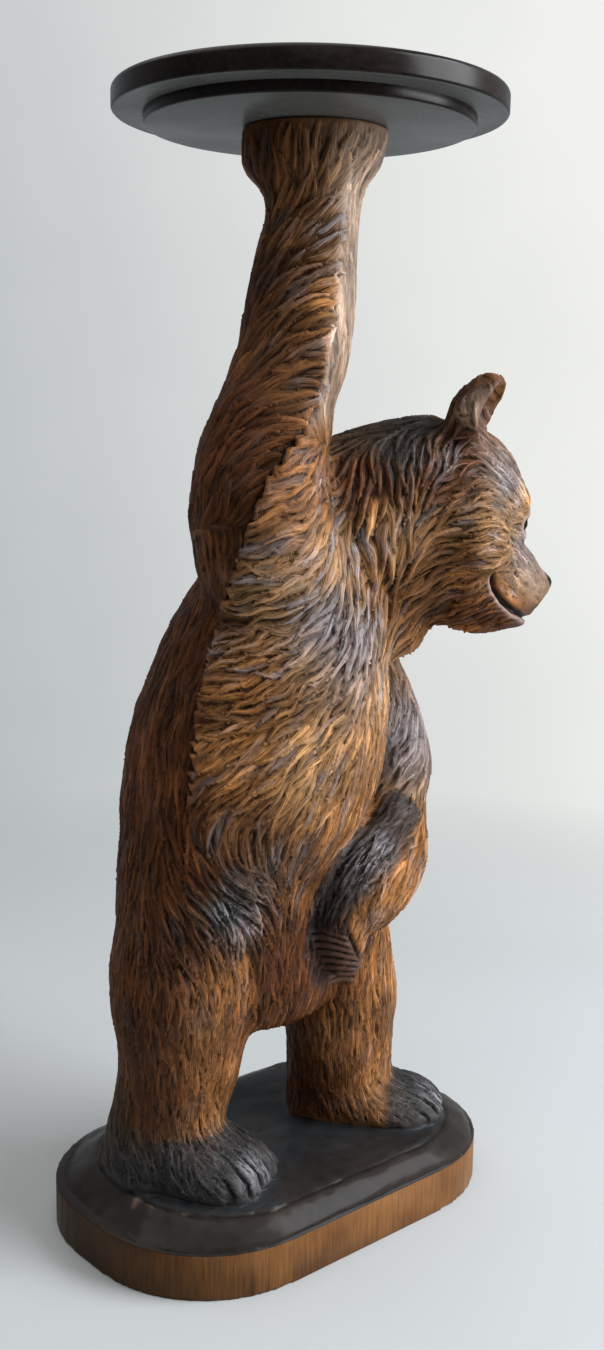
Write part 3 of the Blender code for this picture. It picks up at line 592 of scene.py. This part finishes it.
def reshape(points, normals):
    """Moves the skin a few millimetres where the coarse carving is too full or shallow."""
    head = head_points(points)
    half = left_half(head)
    moved = 2.0 * bump_at(away_from(half, BROW), 0.0, 8.0)
    moved -= 4.6 * bump_at(away_from(half, TEMPLE), 0.0, 11.0)
    leaning = fade(away_from(half, EAR), 27.0, 20.0) * fade(head[:, 2] - EAR[2], -12.0, 14.0)
    points = points + np.outer(leaning, EAR_LEAN)
    for place, reach, move in HEAD_MOVES:
        points = points + np.outer(bump_at(away_from(head, place, reach), 0.0, 1.0), move)
    near_muzzle = away_from(head, MUZZLE_CENTRE) < 50.0
    head = head_points(points)
    head[:, 1] *= 1.0 - MUZZLE_TAPER * fade(head[:, 0], 34.0, 60.0) * near_muzzle
    points = np.where(near_muzzle[:, None], moved_by(HEAD_FRAME, head), points)
    ahead, left, up = points.T
    beyond = ahead - ahead_at(up, THIGH_FOLD)
    share = fade(up, 112.0, 128.0) * fade(up, 204.0, 184.0) * fade(-left, 38.0, 50.0)
    fold = np.where(beyond < 0.0, 2.2 * np.exp(beyond / 9.0), -4.6 * np.exp(-beyond / 10.0))
    beside_arm = bump_at(distance_to_line(points, FOREARM), 21.0, 3.5) * (left < 12.0)
    moved += share * fold - 2.6 * fade(up - ahead - FOREARM_SLANT, 0.0, 12.0) * beside_arm
    return points + normals * moved[:, None]


def carve_skin(mesh):
    """Cuts every feature into the smooth skin and returns the locks of its fur."""
    points, _ = figure_points(mesh)
    edges = read(mesh.edges, "vertices", 2, np.int32)
    points = smooth(points, edges, softness(points), 70)
    points = smooth(points, edges, 1.0 * (points[:, 2] > GROUND + 2.0), 2)
    points = smooth(points, edges, plinth_softness(points), 14)
    write_points(mesh, points)
    write_points(mesh, reshape(*figure_points(mesh)))
    points, normals = figure_points(mesh)
    locks = place_locks(points, normals)
    owner, height, strand = comb(points, normals, locks)
    amount = fur_amount(points)
    relief = np.where(owner >= 0, locks["relief"][owner], 1.0)
    fine = np.clip(relief * 0.34, 0.1, 0.8)
    fur = relief * (1.9 * np.maximum(height, 0.1) - 0.85) + fine * (strand - 0.6)
    moved = amount * fur + features(points, normals)
    level = smooth(moved[:, None], edges, np.ones(len(points)), 14)[:, 0]
    tone, hue = (np.where(owner >= 0, locks[name][owner], 0.0) * amount for name in ("tone", "hue"))
    write_values(mesh, proud=moved - level, tone=tone, hue=hue, black=black_parts(points))
    write_points(mesh, points + normals * moved[:, None])
    return locks


def hold_in_box(mesh):
    """Brings back what left the box of the piece that the mesh replaces."""
    inside = np.clip(read(mesh.vertices, "co", 3), *map(np.array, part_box("carved_bear")))
    mesh.vertices.foreach_set("co", inside.ravel())
    mesh.update()


def ground_cuts(points, normals):
    """Shallow gouge hollows with sharp ridges between them, on the plinth's top and edge."""
    random = np.random.default_rng(19)
    xs, ys = random.uniform(-130, 130, (2, GOUGES))
    angles = random.normal(0.6, 0.5, GOUGES)
    stretches = random.uniform(1.3, 2.4, GOUGES)
    up = points[:, 2]
    rows = np.flatnonzero((up < GROUND + 4.0) & (up > BAND_TOP + 0.8) & (normals[:, 2] > 0.1))
    ahead, left = points[rows, :2].T
    best = np.full(len(rows), np.inf)
    for x, y, angle, stretch in zip(xs, ys, angles, stretches):
        cos, sin = math.cos(angle), math.sin(angle)
        a = ((ahead - x) * cos + (left - y) * sin) / stretch
        c = (left - y) * cos - (ahead - x) * sin
        best = np.minimum(best, a * a + c * c + 6.0 * (x % 1.0))
    depth = np.zeros(len(points))
    depth[rows] = 0.75 * np.clip(1.0 - best / 60.0, 0.0, 1.0)
    return depth * fade(up, GROUND + 4.0, GROUND + 1.0)


def make_bear():
    skin = linked("skin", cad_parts["carved_bear"].data.copy())
    remesh = skin.modifiers.new("skin", "REMESH")
    remesh.mode = "VOXEL"
    remesh.voxel_size = VOXEL / 1000.0
    carved = linked("carved skin", applied(skin))
    locks = carve_skin(carved.data)
    hold_in_box(carved.data)
    count = sum(len(face.vertices) - 2 for face in carved.data.polygons)
    fewer = carved.modifiers.new("fewer", "DECIMATE")
    fewer.ratio = min(1.0, MOST_TRIANGLES / count)
    fewer.use_collapse_triangulate = True
    mesh = applied(carved)
    mesh.name = "bear_and_plinth"
    hold_in_box(mesh)
    mesh.shade_smooth()
    return linked("bear_and_plinth", mesh), locks


# Stains of the wood and painted light: the colour left in the cuts, and the one worn onto the
# ridges
# The pale entry is painted light, the violet and grey ones painted sheen, and the dark one is
# partly painted shade
STAINS_AND_PAINTED_LIGHT = {
    "dark": ((0.01, 0.0031, 0.0012), (0.145, 0.048, 0.0145)),
    "brown": ((0.02, 0.0075, 0.0028), (0.31, 0.126, 0.041)),
    "orange": ((0.036, 0.0135, 0.0048), (0.46, 0.194, 0.058)),
    "tan": ((0.045, 0.019, 0.008), (0.54, 0.285, 0.12)),
    "pale": ((0.13, 0.082, 0.056), (0.43, 0.3, 0.215)),
    "painted_violet_sheen": ((0.028, 0.019, 0.0185), (0.36, 0.27, 0.25)),
    "black": ((0.0022, 0.002, 0.0021), (0.054, 0.05, 0.051)),
    "painted_grey_sheen": ((0.03, 0.019, 0.016), (0.33, 0.245, 0.215)),
}
STAIN_AND_PAINTED_LIGHT_PLACES = {
    # Dark stain on the nape and ears; painted shade on the back, in the groin, between the legs and
    # under the chin
    "dark": (
        (-85, -10, 250), (-60, -20, 330), (-60, -60, 250), (-42, -55, 330), (-30, -50, 400),
        (-22, -45, 440), (-14, -35, 500), (-20, -30, 560), (-55, -75, 210), (-30, -78, 205),
        (-35, -80, 175), (-70, -60, 180), (-60, -80, 130), (-55, -85, 85), (30, 15, 65),
        (48, -24, 408), (78, -16, 415), (92, -16, 418), (100, -12, 437), (94, -10, 446),
        (106, -8, 455), (112, -8, 336), (128, 10, 329), (120, -3, 330), (112, -2, 340),
        (5, -58, 162), (16, -42, 152), (7, -52, 139), (4, -60, 176), (14, -45, 170),
        (22, -36, 166), (-10, 60, 270), (18, -5, 135),
    ),
    "brown": (
        (8, -45, 480), (6, -40, 540), (16, -45, 450), (16, -50, 405), (-18, -75, 152),
        (-25, -80, 130), (-20, -75, 95), (-30, -80, 68), (45, 12, 85), (88, -15, 345),
        (104, 10, 330), (114, 2, 455), (16, -46, 185), (50, 80, 300), (10, 60, 170),
        (20, 30, 400),
    ),
    "orange": (
        (17, -45, 500), (-20, -66, 310), (-15, -70, 270), (45, -35, 225), (60, 20, 125),
        (60, 10, 60), (50, -25, 350), (98, -15, 360), (128, -2, 344), (66, 0, 186),
    ),
    # Painted light on the arm's lit plane, and painted sheen on the muzzle
    "pale": ((38, -25, 500), (40, -20, 545), (139, 9, 350), (132, 3, 357)),
    "tan": (
        (36, -28, 455), (-5, -65, 345), (30, -45, 365), (20, -60, 262), (60, 0, 300),
        (58, -24, 380), (106, -14, 382), (110, -13, 366), (130, 2, 394),
    ),
    # Painted sheen on the chest, the far shoulder, the thigh, the muzzle and the forehead
    "painted_violet_sheen": (
        (30, -48, 335), (45, -40, 325), (73, 36, 263), (-9, -73, 182), (140, 22, 368),
        (133, 6, 368), (124, -2, 408),
    ),
    "black": (
        (-18, -78, 190), (-12, -82, 52), (-40, -98, 48), (-65, -80, 46), (84, 28, 50),
        (45, -10, 450), (75, 0, 440), (62, -20, 424),
    ),
    # Painted sheen on the forehead
    "painted_grey_sheen": ((118, -5, 415),),
}

# On the plinth, for the cuts and for the ridges: its top, its shoulder and the chips on it
GROUND_STAINS = (
    ((0.0055, 0.0064, 0.0074), (0.006, 0.0046, 0.0038), (0.06, 0.035, 0.022)),
    ((0.026, 0.0295, 0.0325), (0.034, 0.027, 0.0235), (0.22, 0.155, 0.11)),
)
BLACK = (0.0035, 0.0033, 0.0033)
# The violet-grey tint of the painted sheen on some ridges
PAINTED_SHEEN_TINT = (1.12, 1.04, 1.10)
# The pale grey of the painted glint on the highest ridges
PAINTED_GLINT = (0.36, 0.34, 0.37, 1.0)

# Places where the ridges get a painted pale glint and the surface is smoother, with the radius of
# each
PAINTED_GLINT_AND_SMOOTH_PLACES = (
    ((20, -58, 345), 34), ((38, -40, 330), 30), ((73, 36, 263), 30), ((34, -28, 520), 34),
    ((-10, -76, 186), 24), ((2, -78, 52), 18), ((98, 24, 52), 18), ((50, -20, 206), 26),
    ((118, -4, 416), 26), ((136, 14, 374), 20), ((45, -26, 360), 24), ((84, -16, 420), 18),
    ((-20, -64, 320), 18),
)


def stain_and_painted_light_at(points):
    """The colours of the cuts and the ridges at each point, from stains and painted light."""
    cut, ridge = np.zeros((2, len(points), 3))
    total = np.zeros((len(points), 1))
    for surface_look, places in STAIN_AND_PAINTED_LIGHT_PLACES.items():
        low, high = np.log(np.array(STAINS_AND_PAINTED_LIGHT[surface_look]))
        for place in places:
            weight = 1.0 / (away_from(points, place)[:, None] + 6.0) ** 4
            cut += weight * low
            ridge += weight * high
            total += weight
    return np.exp(cut / total), np.exp(ridge / total)


def colour_attribute(mesh, name, rows):
    layer = mesh.attributes.new(name, "FLOAT_COLOR", "POINT")
    layer.data.foreach_set("color", np.column_stack((rows, np.ones(len(rows)))).ravel())


def write_values(mesh, **values):
    for name, numbers in values.items():
        layer = mesh.attributes.new(name, "FLOAT", "POINT")
        layer.data.foreach_set("value", numbers)


def mixed(rows, colour, share):
    return rows * (1.0 - share[:, None]) + np.array(colour) * share[:, None]


def behind_seam(points):
    """How much each point lies behind the seam of the flank, and before that of the arm: shares for
    painted shade and painted light.
    """
    _, side, counts = seam_side(points)
    up = fade(points[:, 2], SEAM_TURNS_AT - 8.0, SEAM_TURNS_AT + 8.0)
    return 0.8 * counts * (side < 0) * (1.0 - up), 0.85 * counts * (side > 0) * up


def stain_regions_and_painted_light(points, cut, ridge):
    """Stains what has a sharp bound: the lowered arm and feet, painted shade and light on the
    seam's two sides, and a painted highlight on the lower lip.
    """
    ahead, left, up = points.T
    behind, painted_lit_plane = behind_seam(points)
    arm = fade(distance_to_line(points, FOREARM), 24.0, 19.0) * (left < 22.0)
    above = fade(up - ahead - FOREARM_SLANT, -6.0, 10.0)
    paw = fade(up, 176.0, 166.0) * (left < -6.0)
    paw *= fade(ahead - ahead_at(up, FINGERS), 14.0, 10.5)
    near_foot = fade(up, 67.5, 64.5) * fade(ahead, -58.0, -48.0) * (left < -30.0)
    far_foot = fade(up, 62.0, 57.0) * fade(ahead, 60.0, 68.0)
    head = head_points(points)
    lips, front = mouth_place(head)
    for surface_look, share in (
        # Painted shade behind the flank's seam, and painted light on the arm's plane before its
        # seam
        ("dark", behind),
        ("pale", painted_lit_plane),
        ("orange", 0.8 * arm * (1.0 - above) * (1.0 - paw)),
        ("black", 0.9 * arm * np.maximum(above, 0.6 * paw)),
        ("black", 0.9 * np.maximum(near_foot, far_foot)),
        # A painted highlight along the lower lip
        ("painted_violet_sheen", 0.7 * front * below_mouth(head) * bump_at(lips, 3.2, 1.2)),
    ):
        for rows, colour in zip((cut, ridge), STAINS_AND_PAINTED_LIGHT[surface_look]):
            rows[:] = mixed(rows, colour, share)


def vary_locks(points, cut, ridge, tone, hue):
    """Makes some locks lighter or darker than their neighbours, and greys the ridges of some with a
    violet painted sheen.
    """
    # Painted sheen: ridges greyed towards violet, less behind the seam and low down
    painted_sheen_share = np.clip(0.30 * hue + 0.35 * ripple(points, 26.0, 21) - 0.05, 0.0, 0.75)
    painted_sheen_share *= (1.0 - 0.7 * behind_seam(points)[0]) * (1.0 - 0.6 * fade(points[:, 2], 185.0, 145.0))
    painted_sheen = ridge.mean(axis=1, keepdims=True) * np.array(PAINTED_SHEEN_TINT)
    ridge += (painted_sheen - ridge) * painted_sheen_share[:, None]
    tone = np.clip(tone, -2.0, 2.0)[:, None]
    ridge *= np.exp(0.36 * tone)
    cut *= np.exp(0.15 * tone)


def stain_plinth(points, cut, ridge, plinth, shoulder):
    """Stains the plinth's top and shoulder, with small worn chips on the near edge."""
    lip = bump_at(points[:, 2], GROUND - 2.6, 1.0) * plinth * fade(-points[:, 1], 60.0, 80.0)
    chips = lip * fade(ripple(points, 16.0, 5) + 0.6 * ripple(points, 5.0, 6), 0.95, 1.2)
    for rows, (ground, edge, chip) in zip((cut, ridge), GROUND_STAINS):
        bare = mixed(np.tile(ground, (len(points), 1)), edge, shoulder)
        rows += (mixed(bare, chip, chips) - rows) * plinth[:, None]


def painted_glint_and_smoothness_at(points):
    """1 at the middle of each place with a painted glint and a smoother surface."""
    least = np.ones(len(points))
    for place, radius in PAINTED_GLINT_AND_SMOOTH_PLACES:
        least = np.minimum(least, fade(away_from(points, place), 0.3 * radius, 1.1 * radius))
    return 1.0 - least


def write_lock_places(mesh, points, locks):
    """A UV map with each face's place across and along the lock it lies on."""
    corners = points[read(mesh.polygons, "vertices", 3, np.int32)]
    facing = unit(np.cross(corners[:, 1] - corners[:, 0], corners[:, 2] - corners[:, 0]))
    owner, _, _ = comb(corners.mean(axis=1), facing, locks)
    held = owner >= 0
    lock = owner[held]
    uv = np.stack((corners[..., 0] + corners[..., 1], corners[..., 2]), axis=2)
    for corner in range(3):
        offset = corners[held, corner] - locks["centre"][lock]
        _, across, along = in_lock(locks, lock, offset)
        across = np.clip(across, -2.0, 2.0) * locks["half_width"][lock] + 37.0 * (lock % 97)
        uv[held, corner] = np.stack((across, along + 11.0 * (lock % 89)), axis=1)
    layer = mesh.uv_layers.new(name="lock")
    layer.data.foreach_set("uv", uv.ravel())


def paint_bear(mesh, locks):
    """Writes what the material reads: stain and painted light, relief, and each face's place in its
    lock.
    """
    points, _ = figure_points(mesh)
    names = ("proud", "tone", "hue", "black")
    proud, tone, hue, black = (read(mesh.attributes[name].data, "value", 1) for name in names)
    plinth = 1.0 - fade(points[:, 2], GROUND + 0.8, GROUND + 2.4)
    shoulder = fade(points[:, 2], GROUND + 0.2, GROUND - 1.6)
    cut, ridge = stain_and_painted_light_at(points)
    stain_regions_and_painted_light(points, cut, ridge)
    vary_locks(points, cut, ridge, tone, hue)
    stain_plinth(points, cut, ridge, plinth, shoulder)
    colour_attribute(mesh, "cut", mixed(cut, BLACK, black))
    colour_attribute(mesh, "ridge", mixed(ridge, BLACK, black))
    # Painted glint: pale ridges at the listed places, in spots, off the black parts and the plinth;
    # the same places are smoother
    painted_glint_and_smoothness = painted_glint_and_smoothness_at(points)
    painted_glint_spots = fade(ripple(points, 15.0, 11) + 0.5 * ripple(points, 6.0, 12), -0.5, 0.7)
    glint = painted_glint_and_smoothness * (0.25 + 0.75 * painted_glint_spots) * (1.0 - black) * (1.0 - plinth)
    polish = np.maximum(np.maximum(painted_glint_and_smoothness, black), plinth * (0.05 + 0.3 * shoulder))
    relief = np.clip(0.56 + np.where(proud > 0.0, 0.85, 0.68) * proud, 0.0, 1.0)
    fur = (1.0 - plinth) * (0.15 + 0.85 * fur_amount(points))
    write_values(mesh, glint=glint, polish=polish, relief=relief, fur=fur)
    write_lock_places(mesh, points, locks)


class Nodes:
    """Short calls for building the nodes of a material or a world."""

    def __init__(self, owner):
        owner.use_nodes = True
        self.tree = owner.node_tree
        self.shader = self.tree.nodes.get("Principled BSDF")

    def put(self, socket, value):
        """Links a node's output to a socket, or sets the socket's own value."""
        if isinstance(value, bpy.types.NodeSocket):
            self.tree.links.new(value, socket)
        else:
            socket.default_value = value

    def surface_look(self, colour, roughness, specular, coat=0.0, coat_roughness=0.03):
        names = ("Base Color", "Roughness", "Specular IOR Level", "Coat Weight", "Coat Roughness")
        for name, value in zip(names, (colour, roughness, specular, coat, coat_roughness)):
            self.put(self.shader.inputs[name], value)

    def add(self, kind, inputs=(), **settings):
        node = self.tree.nodes.new("ShaderNode" + kind)
        for name, value in settings.items():
            setattr(node, name, value)
        for socket, value in dict(inputs).items():
            self.put(node.inputs[socket], value)
        return node

    def math(self, operation, a, b=0.0, c=0.0):
        return self.add("Math", {0: a, 1: b, 2: c}, operation=operation).outputs[0]

    def blend(self, a, share_a, b, share_b):
        return self.math("MULTIPLY_ADD", a, share_a, self.math("MULTIPLY", b, share_b))

    def mix(self, factor, a, b):
        made = self.add("Mix", {0: factor}, data_type="RGBA")
        self.put(made.inputs[6], a)
        self.put(made.inputs[7], b)
        return made.outputs[2]

    def place(self):
        return self.add("TexCoord").outputs["Object"]

    def height(self, vector):
        return self.add("SeparateXYZ", {0: vector}).outputs["Z"]

    def stretched(self, vector, scale):
        return self.add("VectorMath", {0: vector, 1: scale}, operation="MULTIPLY").outputs[0]

    def along(self, vector, axis):
        """How far a vector reaches along an axis."""
        made = self.add("VectorMath", {0: vector, 1: tuple(axis)}, operation="DOT_PRODUCT")
        return made.outputs["Value"]

    def attribute(self, name, output="Fac"):
        return self.add("Attribute", attribute_name=name).outputs[output]

    def noise(self, vector, scale, detail=3.0, roughness=0.6):
        inputs = {"Vector": vector, "Scale": scale, "Detail": detail, "Roughness": roughness}
        return self.add("TexNoise", inputs).outputs["Fac"]

    def spread(self, value, low, high, to_low=0.0, to_high=1.0):
        inputs = {0: value, 1: low, 2: high, 3: to_low, 4: to_high}
        return self.add("MapRange", inputs).outputs[0]

    def bump(self, strength, distance, height):
        inputs = {"Strength": strength, "Distance": distance, "Height": height}
        self.put(self.shader.inputs["Normal"], self.add("Bump", inputs).outputs[0])


def bare_wood(nodes, place):
    """The plinth's band: lighter wood with upright grain, and painted shade darkening it towards
    the back.
    """
    grain = nodes.noise(nodes.stretched(place, (1.0, 1.0, 0.05)), 900.0)
    soft = nodes.noise(place, 45.0, 2.0, 0.5)
    lit = nodes.spread(nodes.blend(grain, 0.6, soft, 0.4), 0.3, 0.7)
    wood = nodes.mix(lit, (0.105, 0.040, 0.0125, 1), (0.290, 0.128, 0.042, 1))
    shade = nodes.spread(nodes.along(place, FIGURE_AXES[0]), -0.085, 0.02, 0.85, 0.1)
    return nodes.mix(shade, wood, (0.012, 0.0065, 0.0030, 1))


def bear_material():
    material = bpy.data.materials.new("stained carved wood")
    nodes = Nodes(material)
    place = nodes.place()
    lock = nodes.add("UVMap", uv_map="lock").outputs[0]
    hair = nodes.noise(nodes.stretched(lock, (1.0, 0.07, 1.0)), 1.3, 2.0)
    broad = nodes.noise(place, 26.0, 3.0, 0.55)
    mottle = nodes.noise(place, 150.0)
    fur = nodes.attribute("fur")
    hair_line = nodes.mix(fur, (0.5, 0.5, 0.5, 1), nodes.spread(hair, 0.36, 0.64))
    lit = nodes.blend(hair_line, 0.44, nodes.attribute("relief"), 0.88)
    lit = nodes.math("ADD", lit, nodes.spread(broad, 0.3, 0.7, -0.20, 0.12))
    lit = nodes.math("ADD", lit, nodes.spread(mottle, 0.3, 0.7, -0.08, 0.08))
    lit = nodes.spread(lit, 0.27, 1.0)
    colour = nodes.mix(lit, nodes.attribute("cut", "Color"), nodes.attribute("ridge", "Color"))
    # Painted glint: the highest ridges are mixed towards pale grey where the glint attribute is set
    glint = nodes.spread(lit, 0.62, 1.0, 0.0, 0.85)
    glint = nodes.math("MULTIPLY", nodes.attribute("glint"), glint)
    band_top = BAND_TOP / 1000.0
    band = nodes.spread(nodes.height(place), band_top - 0.0004, band_top - 0.0002, 1.0, 0.0)
    colour = nodes.mix(band, nodes.mix(glint, colour, PAINTED_GLINT), bare_wood(nodes, place))
    rough = nodes.spread(nodes.blend(hair, 1.0, broad, 0.6), 0.4, 1.2, 0.38, 0.62)
    worn = nodes.spread(nodes.attribute("polish"), 0.0, 1.0, 1.0, 0.58)
    nodes.surface_look(colour, nodes.math("MULTIPLY", rough, worn), 0.08, 0.07, 0.14)
    grain = nodes.blend(hair_line, 1.0, mottle, 0.3)
    nodes.bump(nodes.spread(fur, 0.0, 1.0, 0.1, 0.75), 0.0005, grain)
    return material


def plate_material():
    """Near-black wood, with a painted grey reflection of the floor on its underside."""
    material = bpy.data.materials.new("dark turned wood")
    nodes = Nodes(material)
    place = nodes.place()
    grain = nodes.noise(nodes.stretched(place, (0.12, 1.0, 1.0)), 420.0)
    broad = nodes.noise(place, 22.0, 2.0, 0.5)
    lit = nodes.spread(nodes.blend(grain, 0.6, broad, 0.5), 0.4, 0.7)
    colour = nodes.mix(lit, (0.0050, 0.0036, 0.0030, 1), (0.020, 0.0125, 0.0095, 1))
    # Painted reflection: a lighter grey where the surface faces down
    painted_sheen = nodes.mix(lit, (0.108, 0.111, 0.102, 1), (0.134, 0.136, 0.124, 1))
    facing = nodes.height(nodes.add("NewGeometry").outputs["Normal"])
    under = nodes.spread(facing, -0.95, -0.8, 1.0, 0.0)
    rough = nodes.spread(broad, 0.3, 0.7, 0.22, 0.34)
    nodes.surface_look(nodes.mix(under, colour, painted_sheen), rough, 0.13, 0.04, 0.22)
    nodes.bump(0.12, 0.0003, grain)
    return material


# The turned plate: half its section, in millimetres from its axis and from its underside
PLATE_RADIUS = 101.0
PLATE_STEP = (
    (0.0, 0.0), (83.5, 0.0), (84.5, 0.4), (85.0, 1.2), (85.0, 5.2), (85.0, 5.8), (85.6, 6.05),
    (98.5, 6.05),
)
PLATE_TOP = ((96.0, 18.0), (0.0, 18.0))
SEGMENTS = 240


def rounded(across, height, radius, start, steps):
    """A quarter turn of a profile's edge, from an angle on."""
    angles = [start + math.pi / 2 * step / steps for step in range(steps + 1)]
    return [(across + radius * math.cos(a), height + radius * math.sin(a)) for a in angles]


def make_plate():
    """The turned plate with its step, finely lathed, inside its own solid."""
    low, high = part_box("top_plate")
    centre = (low + high) / 2.0
    profile = [*PLATE_STEP, *rounded(99.3, 7.7, 1.7, -math.pi / 2, 6)]
    profile += [*rounded(97.8, 14.8, 3.2, 0.0, 8), *PLATE_TOP]
    scale = (high.x - low.x) / 2.0 / PLATE_RADIUS * 0.99998
    shape = bmesh.new()
    rows = []
    for away, height in profile:
        row = []
        for i in range(SEGMENTS if away else 1):
            angle = math.tau * i / SEGMENTS
            x, y = away * scale * math.cos(angle), away * scale * math.sin(angle)
            row.append(shape.verts.new((centre.x + x, centre.y + y, low.z + height / 1000.0)))
        rows.append(row if away else row * SEGMENTS)
    for below, above in zip(rows, rows[1:]):
        for i in range(SEGMENTS):
            j = (i + 1) % SEGMENTS
            shape.faces.new(dict.fromkeys((below[i], below[j], above[j], above[i])))
    bmesh.ops.recalc_face_normals(shape, faces=shape.faces)
    mesh = bpy.data.meshes.new("turned_plate")
    shape.to_mesh(mesh)
    shape.free()
    mesh.shade_smooth()
    mesh.set_sharp_from_angle(angle=math.radians(40.0))
    return linked("turned_plate", mesh)


CAMERA_TURN, CAMERA_RISE, CAMERA_ROLL = (math.radians(turn) for turn in (-41.506, 9.72, 0.94))
CAMERA_DISTANCE, CAMERA_SIDESTEP, CAMERA_HEIGHT = 0.78997, 0.01269, 0.29937
CAMERA_LENS = 36.0 * 1450.968 / 1350.0


def camera_axes():
    """Right, up and back of the unrolled camera."""
    x, y, level = math.sin(CAMERA_TURN), -math.cos(CAMERA_TURN), math.cos(CAMERA_RISE)
    back = Vector((x * level, y * level, math.sin(CAMERA_RISE)))
    right = Vector((-y, x, 0.0))
    return right, back.cross(right), back


def add_camera():
    right, up, back = camera_axes()
    data = bpy.data.cameras.new("camera")
    data.sensor_width = 36.0
    data.lens = CAMERA_LENS
    data.clip_start = 0.02
    camera = linked("camera", data)
    target = Vector((0.0, 0.0, CAMERA_HEIGHT)) + right * CAMERA_SIDESTEP
    place = target + back * CAMERA_DISTANCE
    cos, sin = math.cos(CAMERA_ROLL), math.sin(CAMERA_ROLL)
    axes = Matrix((right * cos + up * sin, up * cos - right * sin, back)).transposed().to_4x4()
    camera.matrix_world = Matrix.Translation(place) @ axes
    bpy.context.scene.camera = camera


def paper_material():
    """Pale paper that thins out far from the object, where the room takes over."""
    material = bpy.data.materials.new("pale paper")
    nodes = Nodes(material)
    place = nodes.place()
    soft = nodes.noise(place, 2.2, 3.0, 0.5)
    fine = nodes.noise(place, 60.0, 4.0)
    shade = nodes.blend(fine, 0.15, soft, 0.85)
    colour = nodes.mix(shade, (0.47, 0.485, 0.49, 1), (0.53, 0.545, 0.55, 1))
    nodes.surface_look(colour, 0.9, 0.1)
    nodes.bump(0.25, 0.012, soft)
    away = nodes.add("VectorMath", {0: place}, operation="LENGTH").outputs["Value"]
    nodes.put(nodes.shader.inputs["Alpha"], nodes.spread(away, 0.42, 0.95, 1.0, 0.0))
    return material


def add_stage():
    shape = bmesh.new()
    bmesh.ops.create_circle(shape, cap_ends=True, segments=96, radius=1.5)
    mesh = bpy.data.meshes.new("paper_floor")
    shape.to_mesh(mesh)
    shape.free()
    paper = linked("paper_floor", mesh)
    paper.location.z = -0.0003
    paper.data.materials.append(paper_material())


def add_room():
    """Pale paper all round as the camera sees it, with painted light and shade on it, and a dim
    room as the light sees it.
    """
    world = bpy.data.worlds.new("soft room")
    nodes = Nodes(world)
    right, _, back = camera_axes()
    way = nodes.add("TexCoord").outputs["Generated"]
    # The paper the camera sees has painted light, brighter towards the window on the right and
    # higher up, and painted shade in soft folds
    painted_fold_shade = nodes.spread(nodes.noise(way, 5.0, 3.0, 0.55), 0.3, 0.7, -0.07, 0.07)
    across = nodes.spread(nodes.along(way, right), -0.22, 0.22, -0.02, 0.84)
    rise = nodes.spread(nodes.height(way), -0.16, 0.22, 0.06, 0.26)
    bright = nodes.math("ADD", nodes.math("ADD", across, painted_fold_shade), rise)
    seen = nodes.mix(bright, (0.47, 0.50, 0.52, 1), (0.88, 0.89, 0.86, 1))
    lit = nodes.spread(nodes.along(way, back), 0.3, -0.8, 0.16, 0.42)
    shown = nodes.tree.nodes["Background"]
    nodes.put(shown.inputs["Color"], seen)
    light = nodes.add("Background", {"Color": (0.86, 0.93, 1.0, 1.0), "Strength": lit})
    path = nodes.add("LightPath").outputs["Is Camera Ray"]
    both = nodes.add("MixShader", {0: path, 1: light.outputs[0], 2: shown.outputs[0]})
    nodes.put(nodes.tree.nodes["World Output"].inputs["Surface"], both.outputs[0])
    bpy.context.scene.world = world


# Place to the right of the object's middle, back and up, size, power and colour
LIGHTS = {
    "window": ((1.15, 0.25, 0.55), (0.9, 1.3), 36.0, (0.93, 0.97, 1.0)),
    "ceiling": ((-0.4, 0.0, 1.5), (1.8, 1.8), 16.0, (1.0, 0.97, 0.92)),
    "fill": ((0.1, 1.3, 0.8), (0.8, 0.8), 2.0, (1.0, 0.98, 0.95)),
}


def add_lights():
    right, _, back = camera_axes()
    middle = Vector((0.0, 0.0, 0.30))
    for name, (place, size, power, colour) in LIGHTS.items():
        data = bpy.data.lights.new(name, "AREA")
        data.shape = "RECTANGLE"
        data.size, data.size_y = size
        data.energy = power
        data.color = colour
        light = linked(name, data)
        light.visible_camera = False
        spot = middle + right * place[0] + back * place[1] + Vector((0.0, 0.0, place[2]))
        light.location = spot
        light.rotation_euler = (middle - spot).to_track_quat("-Z", "Y").to_euler()


bear, locks = make_bear()
paint_bear(bear.data, locks)
bear.data.materials.clear()
bear.data.materials.append(bear_material())
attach(bear, "root")
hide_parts("carved_bear")

plate = make_plate()
plate.data.materials.append(plate_material())
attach(plate, "root")
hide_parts("top_plate")

add_stage()
add_room()
add_lights()
add_camera()
bpy.context.scene.view_settings.view_transform = "Standard"
